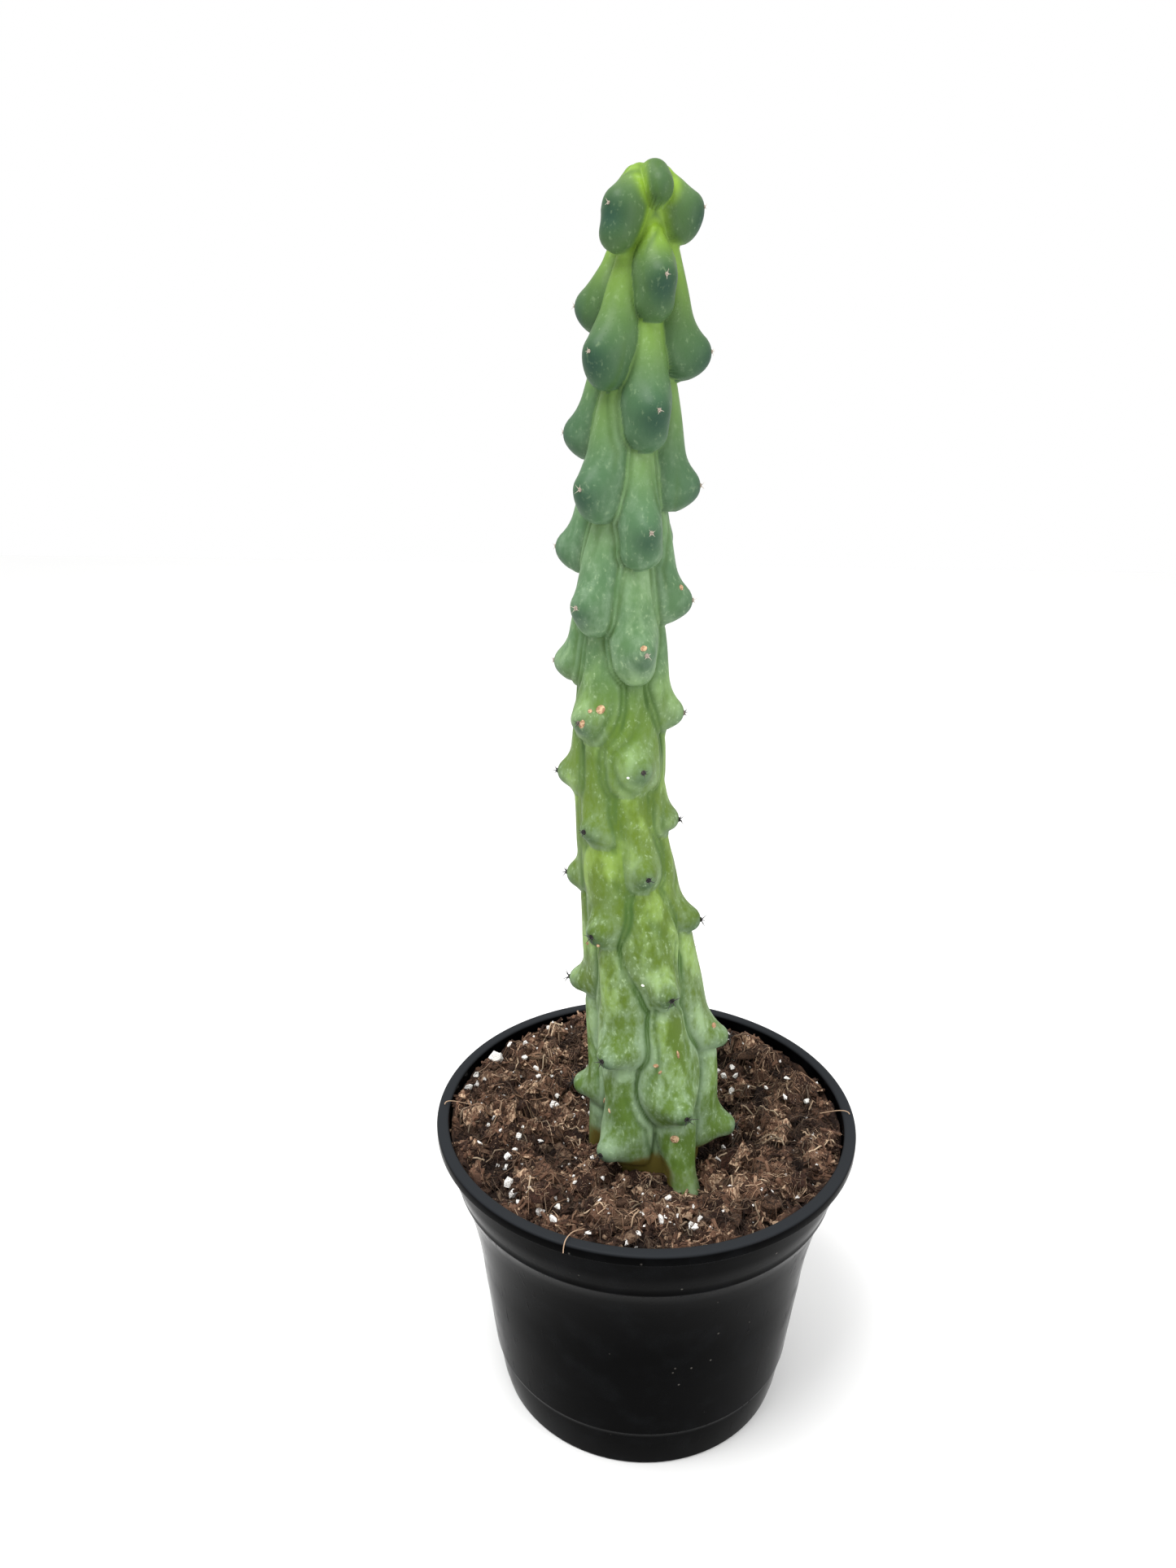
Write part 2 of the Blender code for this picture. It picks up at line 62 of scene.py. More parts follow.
lens = bpy.data.cameras.new("camera")
lens.sensor_width = SENSOR_MM
lens.lens = FOCAL_PIXELS / PHOTO_HEIGHT * SENSOR_MM
lens.clip_start = 10 * MM
camera = bpy.data.objects.new("camera", lens)
camera.matrix_world = Matrix.Translation(EYE) @ Matrix((rightward, upward, -ahead)).transposed().to_4x4()
bpy.context.scene.collection.objects.link(camera)
bpy.context.scene.camera = camera


def sight(pixel):
    """Direction from the camera through a pixel of the photograph."""
    across = (pixel[0] - PHOTO_WIDTH / 2) / FOCAL_PIXELS
    down = (pixel[1] - PHOTO_HEIGHT / 2) / FOCAL_PIXELS
    return (ahead + across * rightward - down * upward).normalized()


# Pot: a thin nursery pot, moulded in black plastic in one piece. Its wall is glossy and its flat lip satin.
# It stands on a foot ring round a raised floor with seven drain holes.
POT_HEIGHT = 95
RIM_RADIUS = 63.5
LIP_WIDTH = 3.6
LIP_SKIRT = 3.3
LIP_ROUND = 0.9
SKIRT_ROUND = 0.3
WALL = 1.3
FOOT_WIDTH = 4
FOOT_ROUND = 0.8
FOOT_BEVEL = 0.4
FOOT_DRAFT = 0.6
RECESS = 2.5
FLOOR_TOP = RECESS + WALL
FLOOR_CORNER = 1
# Outside radius of the wall at depths below the rim, in millimetres
WALL_OUTSIDE = [(61.8, 3.3), (61.4, 4.5), (61.0, 6), (60.3, 10), (59.5, 13), (58.6, 15.4), (58.05, 17.4),
                (58.05, 18.0), (57.98, 18.4), (57.65, 18.9), (56.1, 23), (54.7, 28), (53.4, 34),
                (52.2, 40), (51.2, 47), (50.4, 55), (49.5, 62), (48.6, 70), (47.8, 77), (47.5, 79.8),
                (46.9, 80.4), (46.7, 82), (45.4, 91), (44.6, 94.2)]
INSIDE_DEPTHS = [6, 10, 15.4, 28, 40, 55, 70, 91]
DRAIN_RADIUS = 4.5
DRAIN_CIRCLE = 26
DRAIN_COUNT = 6
POT_SIDES, DRILL_SIDES, CORNER_STEPS = 192, 40, 4
MERGE_WITHIN = 0.02
SHARP_FROM = math.radians(38)


class Link:
    """An output of a shader node. Sums written with it become Math nodes."""

    def __init__(self, skin, socket):
        self.skin = skin
        self.socket = socket

    def math(self, operation, *values):
        return self.skin.add("ShaderNodeMath", {"operation": operation}, dict(enumerate(values)))

    def __add__(self, other):
        return self.math("ADD", self, other)

    def __sub__(self, other):
        return self.math("SUBTRACT", self, other)

    def __rsub__(self, other):
        return self.math("SUBTRACT", other, self)

    def __mul__(self, other):
        return self.math("MULTIPLY", self, other)

    __radd__ = __add__
    __rmul__ = __mul__

    def ease(self, low, high):
        """Smooth step from 0 at low to 1 at high."""
        inputs = {"Value": self, "From Min": low, "From Max": high}
        return self.skin.add("ShaderNodeMapRange", {"interpolation_type": "SMOOTHSTEP"}, inputs)


def add_node(tree, kind, settings, inputs):
    """Adds a node to a tree: first its settings, then the values or links of its sockets."""
    node = tree.nodes.new(kind)
    for name, value in settings.items():
        setattr(node, name, value)
    for name, value in inputs.items():
        socket = node.inputs[name]
        value = value.socket if isinstance(value, Link) else value
        if isinstance(value, bpy.types.NodeSocket):
            tree.links.new(value, socket)
        elif socket.type == "RGBA":
            socket.default_value = (*value, 1)
        else:
            socket.default_value = value
    return node


class Skin:
    """A material: one shader, the constants on its sockets, and nodes for what changes over a surface."""

    def __init__(self, name, **constants):
        self.material = bpy.data.materials.new(name)
        self.material.use_nodes = True
        self.tree = self.material.node_tree
        self.shader = self.tree.nodes["Principled BSDF"]
        for socket, value in constants.items():
            self.shader.inputs[socket.replace("_", " ")].default_value = value
        self.place = self.add("ShaderNodeTexCoord", output="Object")

    def add(self, kind, settings={}, inputs={}, output=0):
        return Link(self, add_node(self.tree, kind, settings, inputs).outputs[output])

    def reads(self, attribute, output="Fac"):
        return self.add("ShaderNodeAttribute", {"attribute_name": attribute}, output=output)

    def noise(self, size, detail=2, stretch=(1, 1, 1), shift=(0, 0, 0), place=None):
        """Cloudy noise with features of a size in millimetres, drawn out by stretch."""
        scale = [1 / (size * MM * pull) for pull in stretch]
        inputs = {"Vector": place or self.place, "Location": shift, "Scale": scale}
        spot = self.add("ShaderNodeMapping", {}, inputs)
        return self.add("ShaderNodeTexNoise", {}, {"Vector": spot, "Scale": 1, "Detail": detail})

    def cells(self, size):
        """Distance to the nearest of many scattered points, which lie a size in millimetres apart."""
        inputs = {"Vector": self.place, "Scale": 1 / (size * MM)}
        return self.add("ShaderNodeTexVoronoi", {}, inputs, "Distance")

    def rise(self, low, high):
        """Smooth step from 0 to 1 between two heights over the pot's underside, in millimetres."""
        height = self.add("ShaderNodeSeparateXYZ", {}, {"Vector": self.place}, "Z")
        return height.ease(low * MM, high * MM)

    def mix(self, share, low, high):
        """Colour that goes from low to high as share goes from 0 to 1."""
        return self.add("ShaderNodeMix", {"data_type": "RGBA"}, {0: share, 6: low, 7: high}, 2)

    def paint(self, **links):
        for name, link in links.items():
            self.tree.links.new(link.socket, self.shader.inputs[name.replace("_", " ")])

    def bump(self, height, depth):
        """Fine relief: height from 0 to 1 stands for a depth in millimetres."""
        inputs = {"Height": height, "Strength": 1, "Distance": depth * MM}
        self.paint(Normal=self.add("ShaderNodeBump", {}, inputs))


def link_up(name, mesh, material=None):
    """A new object with that mesh or curve, in the scene."""
    if material:
        mesh.materials.clear()
        mesh.materials.append(material)
    thing = bpy.data.objects.new(name, mesh)
    bpy.context.scene.collection.objects.link(thing)
    return thing


def drawn(name, draft):
    """A draft's mesh, under a name. It uses the draft up."""
    mesh = bpy.data.meshes.new(name)
    draft.to_mesh(mesh)
    draft.free()
    return mesh


def settle(thing):
    """Makes what an object's modifiers give its own plain mesh."""
    evaluated = thing.evaluated_get(bpy.context.evaluated_depsgraph_get())
    mesh = bpy.data.meshes.new_from_object(evaluated)
    thing.modifiers.clear()
    thing.data = mesh


def keep(piece):
    """Ties a finished piece to the body."""
    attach(piece, "root")


def quarter(x, z, radius, first):
    """Points of a rounded corner about a centre, clockwise over a quarter turn from the angle first."""
    angles = [math.radians(first - 90 * step / CORNER_STEPS) for step in range(CORNER_STEPS + 1)]
    return [(x + radius * math.cos(angle), z + radius * math.sin(angle)) for angle in angles]


def pot_inside(height):
    """Inside radius of the pot at a height over its underside, in millimetres."""
    radii, depths = zip(*[turn for turn in WALL_OUTSIDE if turn[1] in INSIDE_DEPTHS])
    return np.interp(POT_HEIGHT - height, depths, radii) - WALL


def pot_profile():
    """Half of the pot's section, from the floor's middle up, over the lip and down to the foot."""
    inside = [(pot_inside(POT_HEIGHT - depth), POT_HEIGHT - depth) for depth in reversed(INSIDE_DEPTHS)]
    lip_inner = RIM_RADIUS - LIP_WIDTH
    foot_inner = WALL_OUTSIDE[-1][0] - FOOT_WIDTH
    profile = [(0, FLOOR_TOP), (inside[0][0] - FLOOR_CORNER, FLOOR_TOP)] + inside
    profile += quarter(lip_inner + LIP_ROUND, POT_HEIGHT - LIP_ROUND, LIP_ROUND, 180)
    profile += quarter(RIM_RADIUS - LIP_ROUND, POT_HEIGHT - LIP_ROUND, LIP_ROUND, 90)
    profile += quarter(RIM_RADIUS - SKIRT_ROUND, POT_HEIGHT - LIP_SKIRT + SKIRT_ROUND, SKIRT_ROUND, 0)
    profile += [(radius, POT_HEIGHT - depth) for radius, depth in WALL_OUTSIDE]
    profile += quarter(WALL_OUTSIDE[-1][0] - FOOT_ROUND, FOOT_ROUND, FOOT_ROUND, 0)
    profile += [(foot_inner + FOOT_BEVEL, 0), (foot_inner, FOOT_BEVEL)]
    foot_inner -= FOOT_DRAFT
    profile += [(foot_inner, RECESS - FOOT_BEVEL), (foot_inner - FOOT_BEVEL, RECESS)]
    return profile + [(0, RECESS)]


draft = bmesh.new()
points = [draft.verts.new((radius * MM, 0, height * MM)) for radius, height in pot_profile()]
for pair in zip(points, points[1:]):
    draft.edges.new(pair)
pot = link_up("moulded_pot", drawn("moulded_pot", draft))
turn = pot.modifiers.new("Turn", "SCREW")
turn.steps = turn.render_steps = POT_SIDES
turn.use_merge_vertices = True
turn.merge_threshold = MERGE_WITHIN * MM
holes = [Vector((0, 0, 0))]
holes += [Matrix.Rotation(2 * math.pi * hole / DRAIN_COUNT, 3, "Z") @ Vector((DRAIN_CIRCLE * MM, 0, 0))
          for hole in range(DRAIN_COUNT)]
drills = bmesh.new()
radius = DRAIN_RADIUS * MM
for hole in holes:
    bmesh.ops.create_cone(drills, cap_ends=True, segments=DRILL_SIDES, radius1=radius, radius2=radius,
                          depth=4 * FLOOR_TOP * MM, matrix=Matrix.Translation(hole))
drill = link_up("drills", drawn("drills", drills))
cut = pot.modifiers.new("Drain", "BOOLEAN")
cut.operation = "DIFFERENCE"
cut.object = drill
settle(pot)
bpy.data.objects.remove(drill)
pot.data.shade_smooth()
pot.data.set_sharp_from_angle(angle=SHARP_FROM)

plastic = Skin("black_moulded_plastic", Specular_IOR_Level=0.013)
lip_satin_and_sheen = plastic.rise(POT_HEIGHT - LIP_ROUND, POT_HEIGHT)
cloud = plastic.noise(22, 3)
scratches = plastic.noise(1.1, 3, (1, 1, 26)).ease(0.6, 0.74) * cloud.ease(0.4, 0.62)
haze = plastic.noise(9, 4, shift=(3, 1, 0)).ease(0.45, 0.75)
specks = (1 - plastic.cells(4.2).ease(0.04, 0.1)) * plastic.noise(17, 1, shift=(0, 7, 0)).ease(0.56, 0.66)
black = plastic.mix(haze, (0.0008, 0.0008, 0.0009), (0.0022, 0.0024, 0.0028))
# Painted sheen: the lip's top is lighter grey than the black plastic, standing in for the light its satin
# face catches. Its higher roughness is the real satin finish
black = plastic.mix(lip_satin_and_sheen, black, (0.022, 0.024, 0.027))
black = plastic.mix(specks * 0.35, black, (0.22, 0.2, 0.18))
plastic.paint(Base_Color=black)
plastic.paint(Roughness=0.13 + 0.12 * haze + 0.2 * scratches + 0.2 * lip_satin_and_sheen + 0.3 * specks)
plastic.bump(scratches + 0.5 * plastic.noise(0.5, 2), 0.02)
pot.data.materials.clear()
pot.data.materials.append(plastic.material)
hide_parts("pot")
keep(pot)

# Soil: a loose mix of dark peat and coir that fills the pot nearly to its lip and dips round the stem,
# which is set about 24 mm deep. It is one closed body with its clods as relief.
SOIL_LEVEL = 84
STEM_FOOT = (2.5, -4)
SOIL_EDGE_RISE = 7.5
EDGE_RISE_STRETCH = (0.45, 0.88)
SOIL_DIP = 1.2
DIP_EDGE = (24, 36)
# Waves that make the swells: height, phase per metre along X and along Y, and starting phase
SOIL_WAVES = [(0.4, 310, -270, 2.47), (0.4, 310, 270, 0.13), (0.56, 520, -410, 0), (0.4, 620, 830, 2)]
SOIL_SIDES, SOIL_RINGS = 336, 100
SOIL_GAP = 0.4
LOOSE_FROM = 1.5
# The body under the surface: heights, and how far it is drawn in there from the pot's wall
SOIL_BODY = [(FLOOR_TOP + 0.5, 1.5), (40, 0), (67, 0), (80, 0), (85, 0)]
# Where the stem's prong goes into the soil, and how far round it the soil lies flat
PRONG_SEEN = (850, 1464)
PRONG_CLEARING = (2, 9)
SOIL_RELIEF = {"Clod height": 7.5 * MM, "Clod size": 9 * MM, "Crumb height": 2 * MM, "Crumb size": 2.2 * MM}
# Heights of the relief at which the soil takes full painted gap shade and none at all
GAP_LIFT, CREST_LIFT = -2.2 * MM, 2 * MM
GAP_SHADE_BROWN = (0.007, 0.0032, 0.0022)


def ease(value, start, end):
    """Smooth step from 0 at start to 1 at end."""
    t = np.clip((value - start) / (end - start), 0, 1)
    return t * t * (3 - 2 * t)


def soil_lift(x, y):
    """Height of the soil's swells over its level, for a place in millimetres."""
    rise = SOIL_EDGE_RISE * ease(np.hypot(x, y) / pot_inside(SOIL_LEVEL), *EDGE_RISE_STRETCH)
    swell = sum(lump * np.sin((by_x * x + by_y * y) * MM + phase) for lump, by_x, by_y, phase in SOIL_WAVES)
    apart = ease(np.hypot(x - STEM_FOOT[0], y - STEM_FOOT[1]), *DIP_EDGE)
    return rise + apart * swell - SOIL_DIP * (1 - apart)


def grid_faces(rows, sides):
    """Faces of a tube of rows of points, with a pole before the first row and one after the last."""
    pairs = [(side, (side + 1) % sides) for side in range(sides)]
    faces = [(0, 1 + other, 1 + side) for side, other in pairs]
    for row in range(rows - 1):
        first = 1 + row * sides
        after = first + sides
        faces += [(first + side, first + other, after + other, after + side) for side, other in pairs]
    last = 1 + (rows - 1) * sides
    return faces + [(last + side, last + other, last + sides) for side, other in pairs]


def mesh_of(name, bottom, rows, top, **fields):
    """Closed mesh of rings between two poles, in millimetres, with a number per point for each field."""
    count, sides, _ = rows.shape
    mesh = bpy.data.meshes.new(name)
    places = np.concatenate([[bottom], rows.reshape(-1, 3), [top]]) * MM
    mesh.from_pydata(places.tolist(), [], grid_faces(count, sides))
    for field, values in fields.items():
        flat = np.concatenate([[values[0].mean()], values.reshape(-1), [values[-1].mean()]])
        mesh.attributes.new(field, "FLOAT", "POINT").data.foreach_set("value", flat.astype(np.float32))
    mesh.shade_smooth()
    return mesh


def geometry_tree(name, sizes):
    """A Geometry Nodes tree with its named inputs: its geometry, its material and each of the sizes."""
    tree = bpy.data.node_groups.new(name, "GeometryNodeTree")
    tree.interface.new_socket("Geometry", in_out="OUTPUT", socket_type="NodeSocketGeometry")
    kinds = {int: "NodeSocketInt", float: "NodeSocketFloat", tuple: "NodeSocketVector",
             bpy.types.Object: "NodeSocketObject"}
    inputs = {"Geometry": "NodeSocketGeometry", "Material": "NodeSocketMaterial"}
    inputs.update((size, kinds[type(value)]) for size, value in sizes.items())
    for size, kind in inputs.items():
        tree.interface.new_socket(size, in_out="INPUT", socket_type=kind)
    return tree, tree.nodes.new("NodeGroupInput").outputs


def made_by(tree, kind, inputs={}, output=0, **settings):
    """What a new node of a geometry tree gives."""
    return add_node(tree, kind, settings, inputs).outputs[output]


def calculate(tree, operation, *values):
    return made_by(tree, "ShaderNodeMath", dict(enumerate(values)), operation=operation)


def field(tree, name, kind="FLOAT"):
    """The value that geometry carries under a name."""
    return made_by(tree, "GeometryNodeInputNamedAttribute", {"Name": name}, data_type=kind)


def stored(tree, geometry, name, value, domain="POINT", kind="FLOAT"):
    """Geometry that carries a value under a name."""
    inputs = {"Geometry": geometry, "Name": name, "Value": value}
    return made_by(tree, "GeometryNodeStoreNamedAttribute", inputs, data_type=kind, domain=domain)


def moved(tree, geometry, **inputs):
    """Geometry with its points pushed by an Offset, or put at a Position."""
    return made_by(tree, "GeometryNodeSetPosition", {"Geometry": geometry, **inputs})


def end_tree(tree, geometry, material, smooth=True):
    """Ends a tree: the copies become one mesh in its material."""
    real = made_by(tree, "GeometryNodeRealizeInstances", {"Geometry": geometry})
    shaded = made_by(tree, "GeometryNodeSetShadeSmooth", {"Geometry": real, "Shade Smooth": smooth})
    dressed = made_by(tree, "GeometryNodeSetMaterial", {"Geometry": shaded, "Material": material})
    add_node(tree, "NodeGroupOutput", {}, {"Geometry": dressed})


def painted_gap_shade(skin):
    """Share of painted shade, from 0 on the crests of the soil's relief to 1 in its gaps."""
    return 1 - skin.reads("lift").ease(GAP_LIFT, CREST_LIFT)


def grow(name, mesh, tree, **sizes):
    """A new piece: what a tree makes of a mesh with the given sizes, as a plain mesh."""
    piece = link_up(name, mesh)
    modifier = piece.modifiers.new(tree.name, "NODES")
    modifier.node_group = tree
    for item in tree.interface.items_tree:
        if item.in_out == "INPUT" and item.name in sizes:
            modifier[item.identifier] = sizes[item.name]
    settle(piece)
    return piece


relief, given = geometry_tree("soil_relief", SOIL_RELIEF)
heights = []
for title in ("Clod", "Crumb"):
    rate = calculate(relief, "DIVIDE", 1, given[title + " size"])
    cloud = made_by(relief, "ShaderNodeTexNoise", {"Scale": rate, "Detail": 4})
    inputs = {"Scale": rate, "Smoothness": 0.3}
    bumps = made_by(relief, "ShaderNodeTexVoronoi", inputs, "Distance", feature="SMOOTH_F1")
    both = calculate(relief, "SUBTRACT", cloud, bumps)
    heights.append(calculate(relief, "MULTIPLY", both, given[title + " height"]))
lift = calculate(relief, "MULTIPLY", calculate(relief, "ADD", *heights), field(relief, "loose"))
upright = made_by(relief, "ShaderNodeCombineXYZ", {"Z": lift})
raised = moved(relief, stored(relief, given["Geometry"], "lift", lift), Offset=upright)
end_tree(relief, raised, given["Material"])

soil_skin = Skin("peat_and_coir", Specular_IOR_Level=0.25)
patches = soil_skin.noise(7, 4).ease(0.35, 0.68)
grit = soil_skin.noise(0.8, 3)
threads = soil_skin.noise(0.5, 3, (1, 7, 1), (4, 0, 2)).ease(0.6, 0.72)
brown = soil_skin.mix(patches, (0.026, 0.0115, 0.0075), (0.13, 0.069, 0.043))
brown = soil_skin.mix(threads * 0.6, brown, (0.33, 0.205, 0.13))
# Painted shade: the soil darkens towards the gaps of its relief
brown = soil_skin.mix(painted_gap_shade(soil_skin), brown, GAP_SHADE_BROWN)
soil_skin.paint(Base_Color=brown, Roughness=0.8 + 0.18 * patches)
soil_skin.bump(grit + 0.6 * threads, 0.5)

azimuths = np.arange(SOIL_SIDES) * 2 * math.pi / SOIL_SIDES
sine, cosine = np.sin(azimuths), -np.cos(azimuths)
rows = []
for height, inset in SOIL_BODY:
    radius = pot_inside(height) - SOIL_GAP - inset
    rows.append(np.stack([radius * sine, radius * cosine, np.full(SOIL_SIDES, float(height))], axis=-1))
buried = len(rows)
rim = pot_inside(SOIL_LEVEL)
edge = pot_inside(SOIL_LEVEL + soil_lift(rim * sine, rim * cosine)) - SOIL_GAP
for share in np.linspace(0, 1, SOIL_RINGS + 1)[:-1]:
    x = (1 - share) * edge * sine + share * STEM_FOOT[0]
    y = (1 - share) * edge * cosine + share * STEM_FOOT[1]
    rows.append(np.stack([x, y, SOIL_LEVEL + soil_lift(x, y)], axis=-1))
rows = np.array(rows)
room = edge - np.hypot(rows[..., 0], rows[..., 1])
room[:buried] = 0
down = sight(PRONG_SEEN)
prong = (EYE + down * ((SOIL_LEVEL * MM - EYE.z) / down.z)) / MM
from_prong = np.hypot(rows[..., 0] - prong.x, rows[..., 1] - prong.y)
loose = ease(room, 0, LOOSE_FROM) * ease(from_prong, *PRONG_CLEARING)
room = np.minimum(room, from_prong - PRONG_CLEARING[0] / 2)
middle = (*STEM_FOOT, SOIL_LEVEL - SOIL_DIP)
mesh = mesh_of("soil_surface", (0, 0, rows[0, 0, 2]), rows, middle, loose=loose, room=room)
soil = grow("soil_surface", mesh, relief, Material=soil_skin.material, **SOIL_RELIEF)
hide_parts("soil")
keep(soil)

# Crumbs, clods and slivers: the loose top of the mix, thousands of crumbs and splinters of peat and larger
# clods. They are strewn at random, half sunk in the soil. Each is a small body, stretched and roughened.
LUMP_SIDES = {"Narrowest": (0.7, 0.6, 0.45), "Widest": (1.4, 1.1, 1)}
SLIVER_SIDES = {"Narrowest": (1.2, 0.12, 0.1), "Widest": (2.8, 0.36, 0.22)}
STREWN = {
    "peat_crumbs": {
        "Per square metre": 400000.0, "Room": 1.2, "Smallest": 0.4 * MM, "Largest": 1.3 * MM,
        "Roughness": 1.3 * MM, "Roughness size": 0.9 * MM, "Seed": 3, **LUMP_SIDES},
    "peat_clods": {
        "Per square metre": 80000.0, "Room": 5.5, "Smallest": 0.8 * MM, "Largest": 3.4 * MM,
        "Roughness": 4.4 * MM, "Roughness size": 1.5 * MM, "Seed": 9, **LUMP_SIDES},
    "peat_slivers": {
        "Per square metre": 320000.0, "Room": 1.5, "Smallest": 0.6 * MM, "Largest": 1.7 * MM,
        "Roughness": 1.3 * MM, "Roughness size": 2.2 * MM, "Seed": 5, **SLIVER_SIDES},
}
BALL = "GeometryNodeMeshIcoSphere", {"Radius": 1, "Subdivisions": 1}
BLOCK = "GeometryNodeMeshCube", {"Size": (1.7, 1.7, 1.7), "Vertices X": 3, "Vertices Y": 3, "Vertices Z": 3}
SPLINTER = "GeometryNodeMeshCube", {"Size": (2, 2, 2), "Vertices X": 4, "Vertices Y": 2, "Vertices Z": 2}
STREWN_SHAPES = {"peat_crumbs": BALL, "peat_clods": BLOCK, "peat_slivers": SPLINTER}
STREWN_TILT = 0.7
DARK_BROWN, MID_BROWN, TAN = (0.024, 0.0105, 0.0065), (0.17, 0.09, 0.056), (0.6, 0.42, 0.28)


def random_value(tree, kind, low, high, seed):
    """A random number or vector for each point or copy."""
    first = 0 if kind == "FLOAT_VECTOR" else 2
    inputs = {first: low, first + 1: high, "Seed": seed}
    return made_by(tree, "FunctionNodeRandomValue", inputs, first // 2, data_type=kind)


def vector_math(tree, operation, first, second, socket=1):
    return made_by(tree, "ShaderNodeVectorMath", {0: first, socket: second}, operation=operation)


def strewn_points(tree, given):
    """Random places on the soil, with a given room to the pot's wall."""
    roomy = calculate(tree, "GREATER_THAN", field(tree, "room"), given["Room"])
    density = calculate(tree, "MULTIPLY", roomy, given["Per square metre"])
    spread = {"Mesh": given["Geometry"], "Density": density, "Seed": given["Seed"]}
    return made_by(tree, "GeometryNodeDistributePointsOnFaces", spread, "Points")


def copies(tree, points, shape, turn, scale):
    """Copies of a shape on points, made real, each with its own place kept as a field for its material."""
    shape = stored(tree, shape, "own", made_by(tree, "GeometryNodeInputPosition"), kind="FLOAT_VECTOR")
    inputs = {"Points": points, "Instance": shape, "Rotation": turn, "Scale": scale}
    copied = made_by(tree, "GeometryNodeInstanceOnPoints", inputs)
    toned = stored(tree, copied, "tone", random_value(tree, "FLOAT", 0.0, 1.0, 4), "INSTANCE")
    return made_by(tree, "GeometryNodeRealizeInstances", {"Geometry": toned})


def roughened(tree, geometry, size, strength):
    """Pushes points every way by noise of a size, up to half the strength."""
    place = made_by(tree, "GeometryNodeInputPosition")
    rate = calculate(tree, "DIVIDE", 1, size)
    cloud = made_by(tree, "ShaderNodeTexNoise", {"Vector": place, "Scale": rate, "Detail": 2}, "Color")
    centred = vector_math(tree, "SUBTRACT", cloud, (0.5, 0.5, 0.5))
    return moved(tree, geometry, Offset=vector_math(tree, "SCALE", centred, strength, "Scale"))


def strewing_tree(name, sizes, kind, inputs):
    """A tree that strews roughened copies of a primitive over the soil."""
    tree, given = geometry_tree(name, sizes)
    shape = made_by(tree, kind, inputs)
    size = random_value(tree, "FLOAT", given["Smallest"], given["Largest"], 1)
    flattened = random_value(tree, "FLOAT_VECTOR", given["Narrowest"], given["Widest"], 2)
    least, most = (-STREWN_TILT, -STREWN_TILT, 0), (STREWN_TILT, STREWN_TILT, 2 * math.pi)
    turn = random_value(tree, "FLOAT_VECTOR", least, most, 3)
    stretch = vector_math(tree, "SCALE", flattened, size, "Scale")
    lumps = copies(tree, strewn_points(tree, given), shape, turn, stretch)
    lumps = roughened(tree, lumps, given["Roughness size"], given["Roughness"])
    end_tree(tree, lumps, given["Material"], smooth=False)
    return tree


crumb_skin = Skin("peat_crumbs", Specular_IOR_Level=0.2)
tone = crumb_skin.reads("tone")
mottle = crumb_skin.noise(1.6, 3)
brown = crumb_skin.mix((0.6 * tone + 0.5 * mottle).ease(0.25, 0.8), DARK_BROWN, MID_BROWN)
specks = crumb_skin.noise(0.8, 4, (1, 3, 1), (3, 3, 1)).ease(0.42, 0.58)
brown = crumb_skin.mix(tone.ease(0.7, 0.95) * specks, brown, TAN)
hairs = crumb_skin.noise(0.35, 3, (1, 6, 1), (2, 5, 0)).ease(0.58, 0.7)
brown = crumb_skin.mix(hairs * 0.5, brown, TAN)
# Painted shade: crumbs darken where they lie in the soil's gaps
brown = crumb_skin.mix(painted_gap_shade(crumb_skin) * 0.9, brown, GAP_SHADE_BROWN)
crumb_skin.paint(Base_Color=brown, Roughness=0.75 + 0.25 * mottle)
crumb_skin.bump(hairs + crumb_skin.noise(0.4, 2), 0.25)
strewn = {}
for name, sizes in STREWN.items():
    tree = strewing_tree(name, sizes, *STREWN_SHAPES[name])
    strewn[name] = grow(name, soil.data.copy(), tree, Material=crumb_skin.material, **sizes)
    keep(strewn[name])

# Perlite and bark: white grains of puffed glass, and chips of bark and husk, mixed through the soil.
# The notable ones lie where they are seen, with their size in millimetres, and the rest fall at random.
PERLITE_SEEN = [
    (610, 1304, 4.2), (615, 1298, 1.7), (645, 1302, 2.7), (659, 1315, 2.4), (662, 1324, 2.1),
    (585, 1323, 2.4), (576, 1338, 2.3), (587, 1335, 2.3), (582, 1351, 1.9), (680, 1360, 2.7),
    (704, 1374, 2.7), (725, 1370, 2), (664, 1404, 1.8), (624, 1424, 2.6), (621, 1436, 2.1), (625, 1456, 3),
    (631, 1469, 2.6), (638, 1480, 2.1), (664, 1493, 3.8), (680, 1501, 2.7), (686, 1485, 1.7),
    (724, 1517, 2), (789, 1494, 2), (813, 1502, 3), (860, 1501, 2.4), (890, 1414, 2.6), (899, 1344, 2.8),
    (966, 1327, 2.2), (991, 1356, 2.8), (964, 1349, 1.5), (894, 1273, 2), (1003, 1332, 1.5),
    (660, 1290, 1.6), (674, 1264, 1.6), (880, 1343, 1.3), (998, 1396, 1.3)]
# The rest: how many, their sizes, the power that makes large ones rare, and how much their sides vary
PERLITE_COUNT, PERLITE_SIZES, PERLITE_POWER = 380, (0.4, 2), 2.8
PERLITE_STRETCH = (0.55, 1.25)
# Chips that are seen: pixel, length, width and thickness in millimetres, turn on the soil in degrees
BARK_SEEN = [
    (925, 1296, 12, 6, 2.5, 5), (666, 1467, 8, 5, 2.5, 60), (766, 1499, 11, 4, 2.5, 20),
    (892, 1431, 13, 6.5, 4, 8), (947, 1481, 6, 5, 2, 110), (640, 1360, 5, 3, 1.5, 35),
    (979, 1458, 3.8, 3, 2.8, 0)]
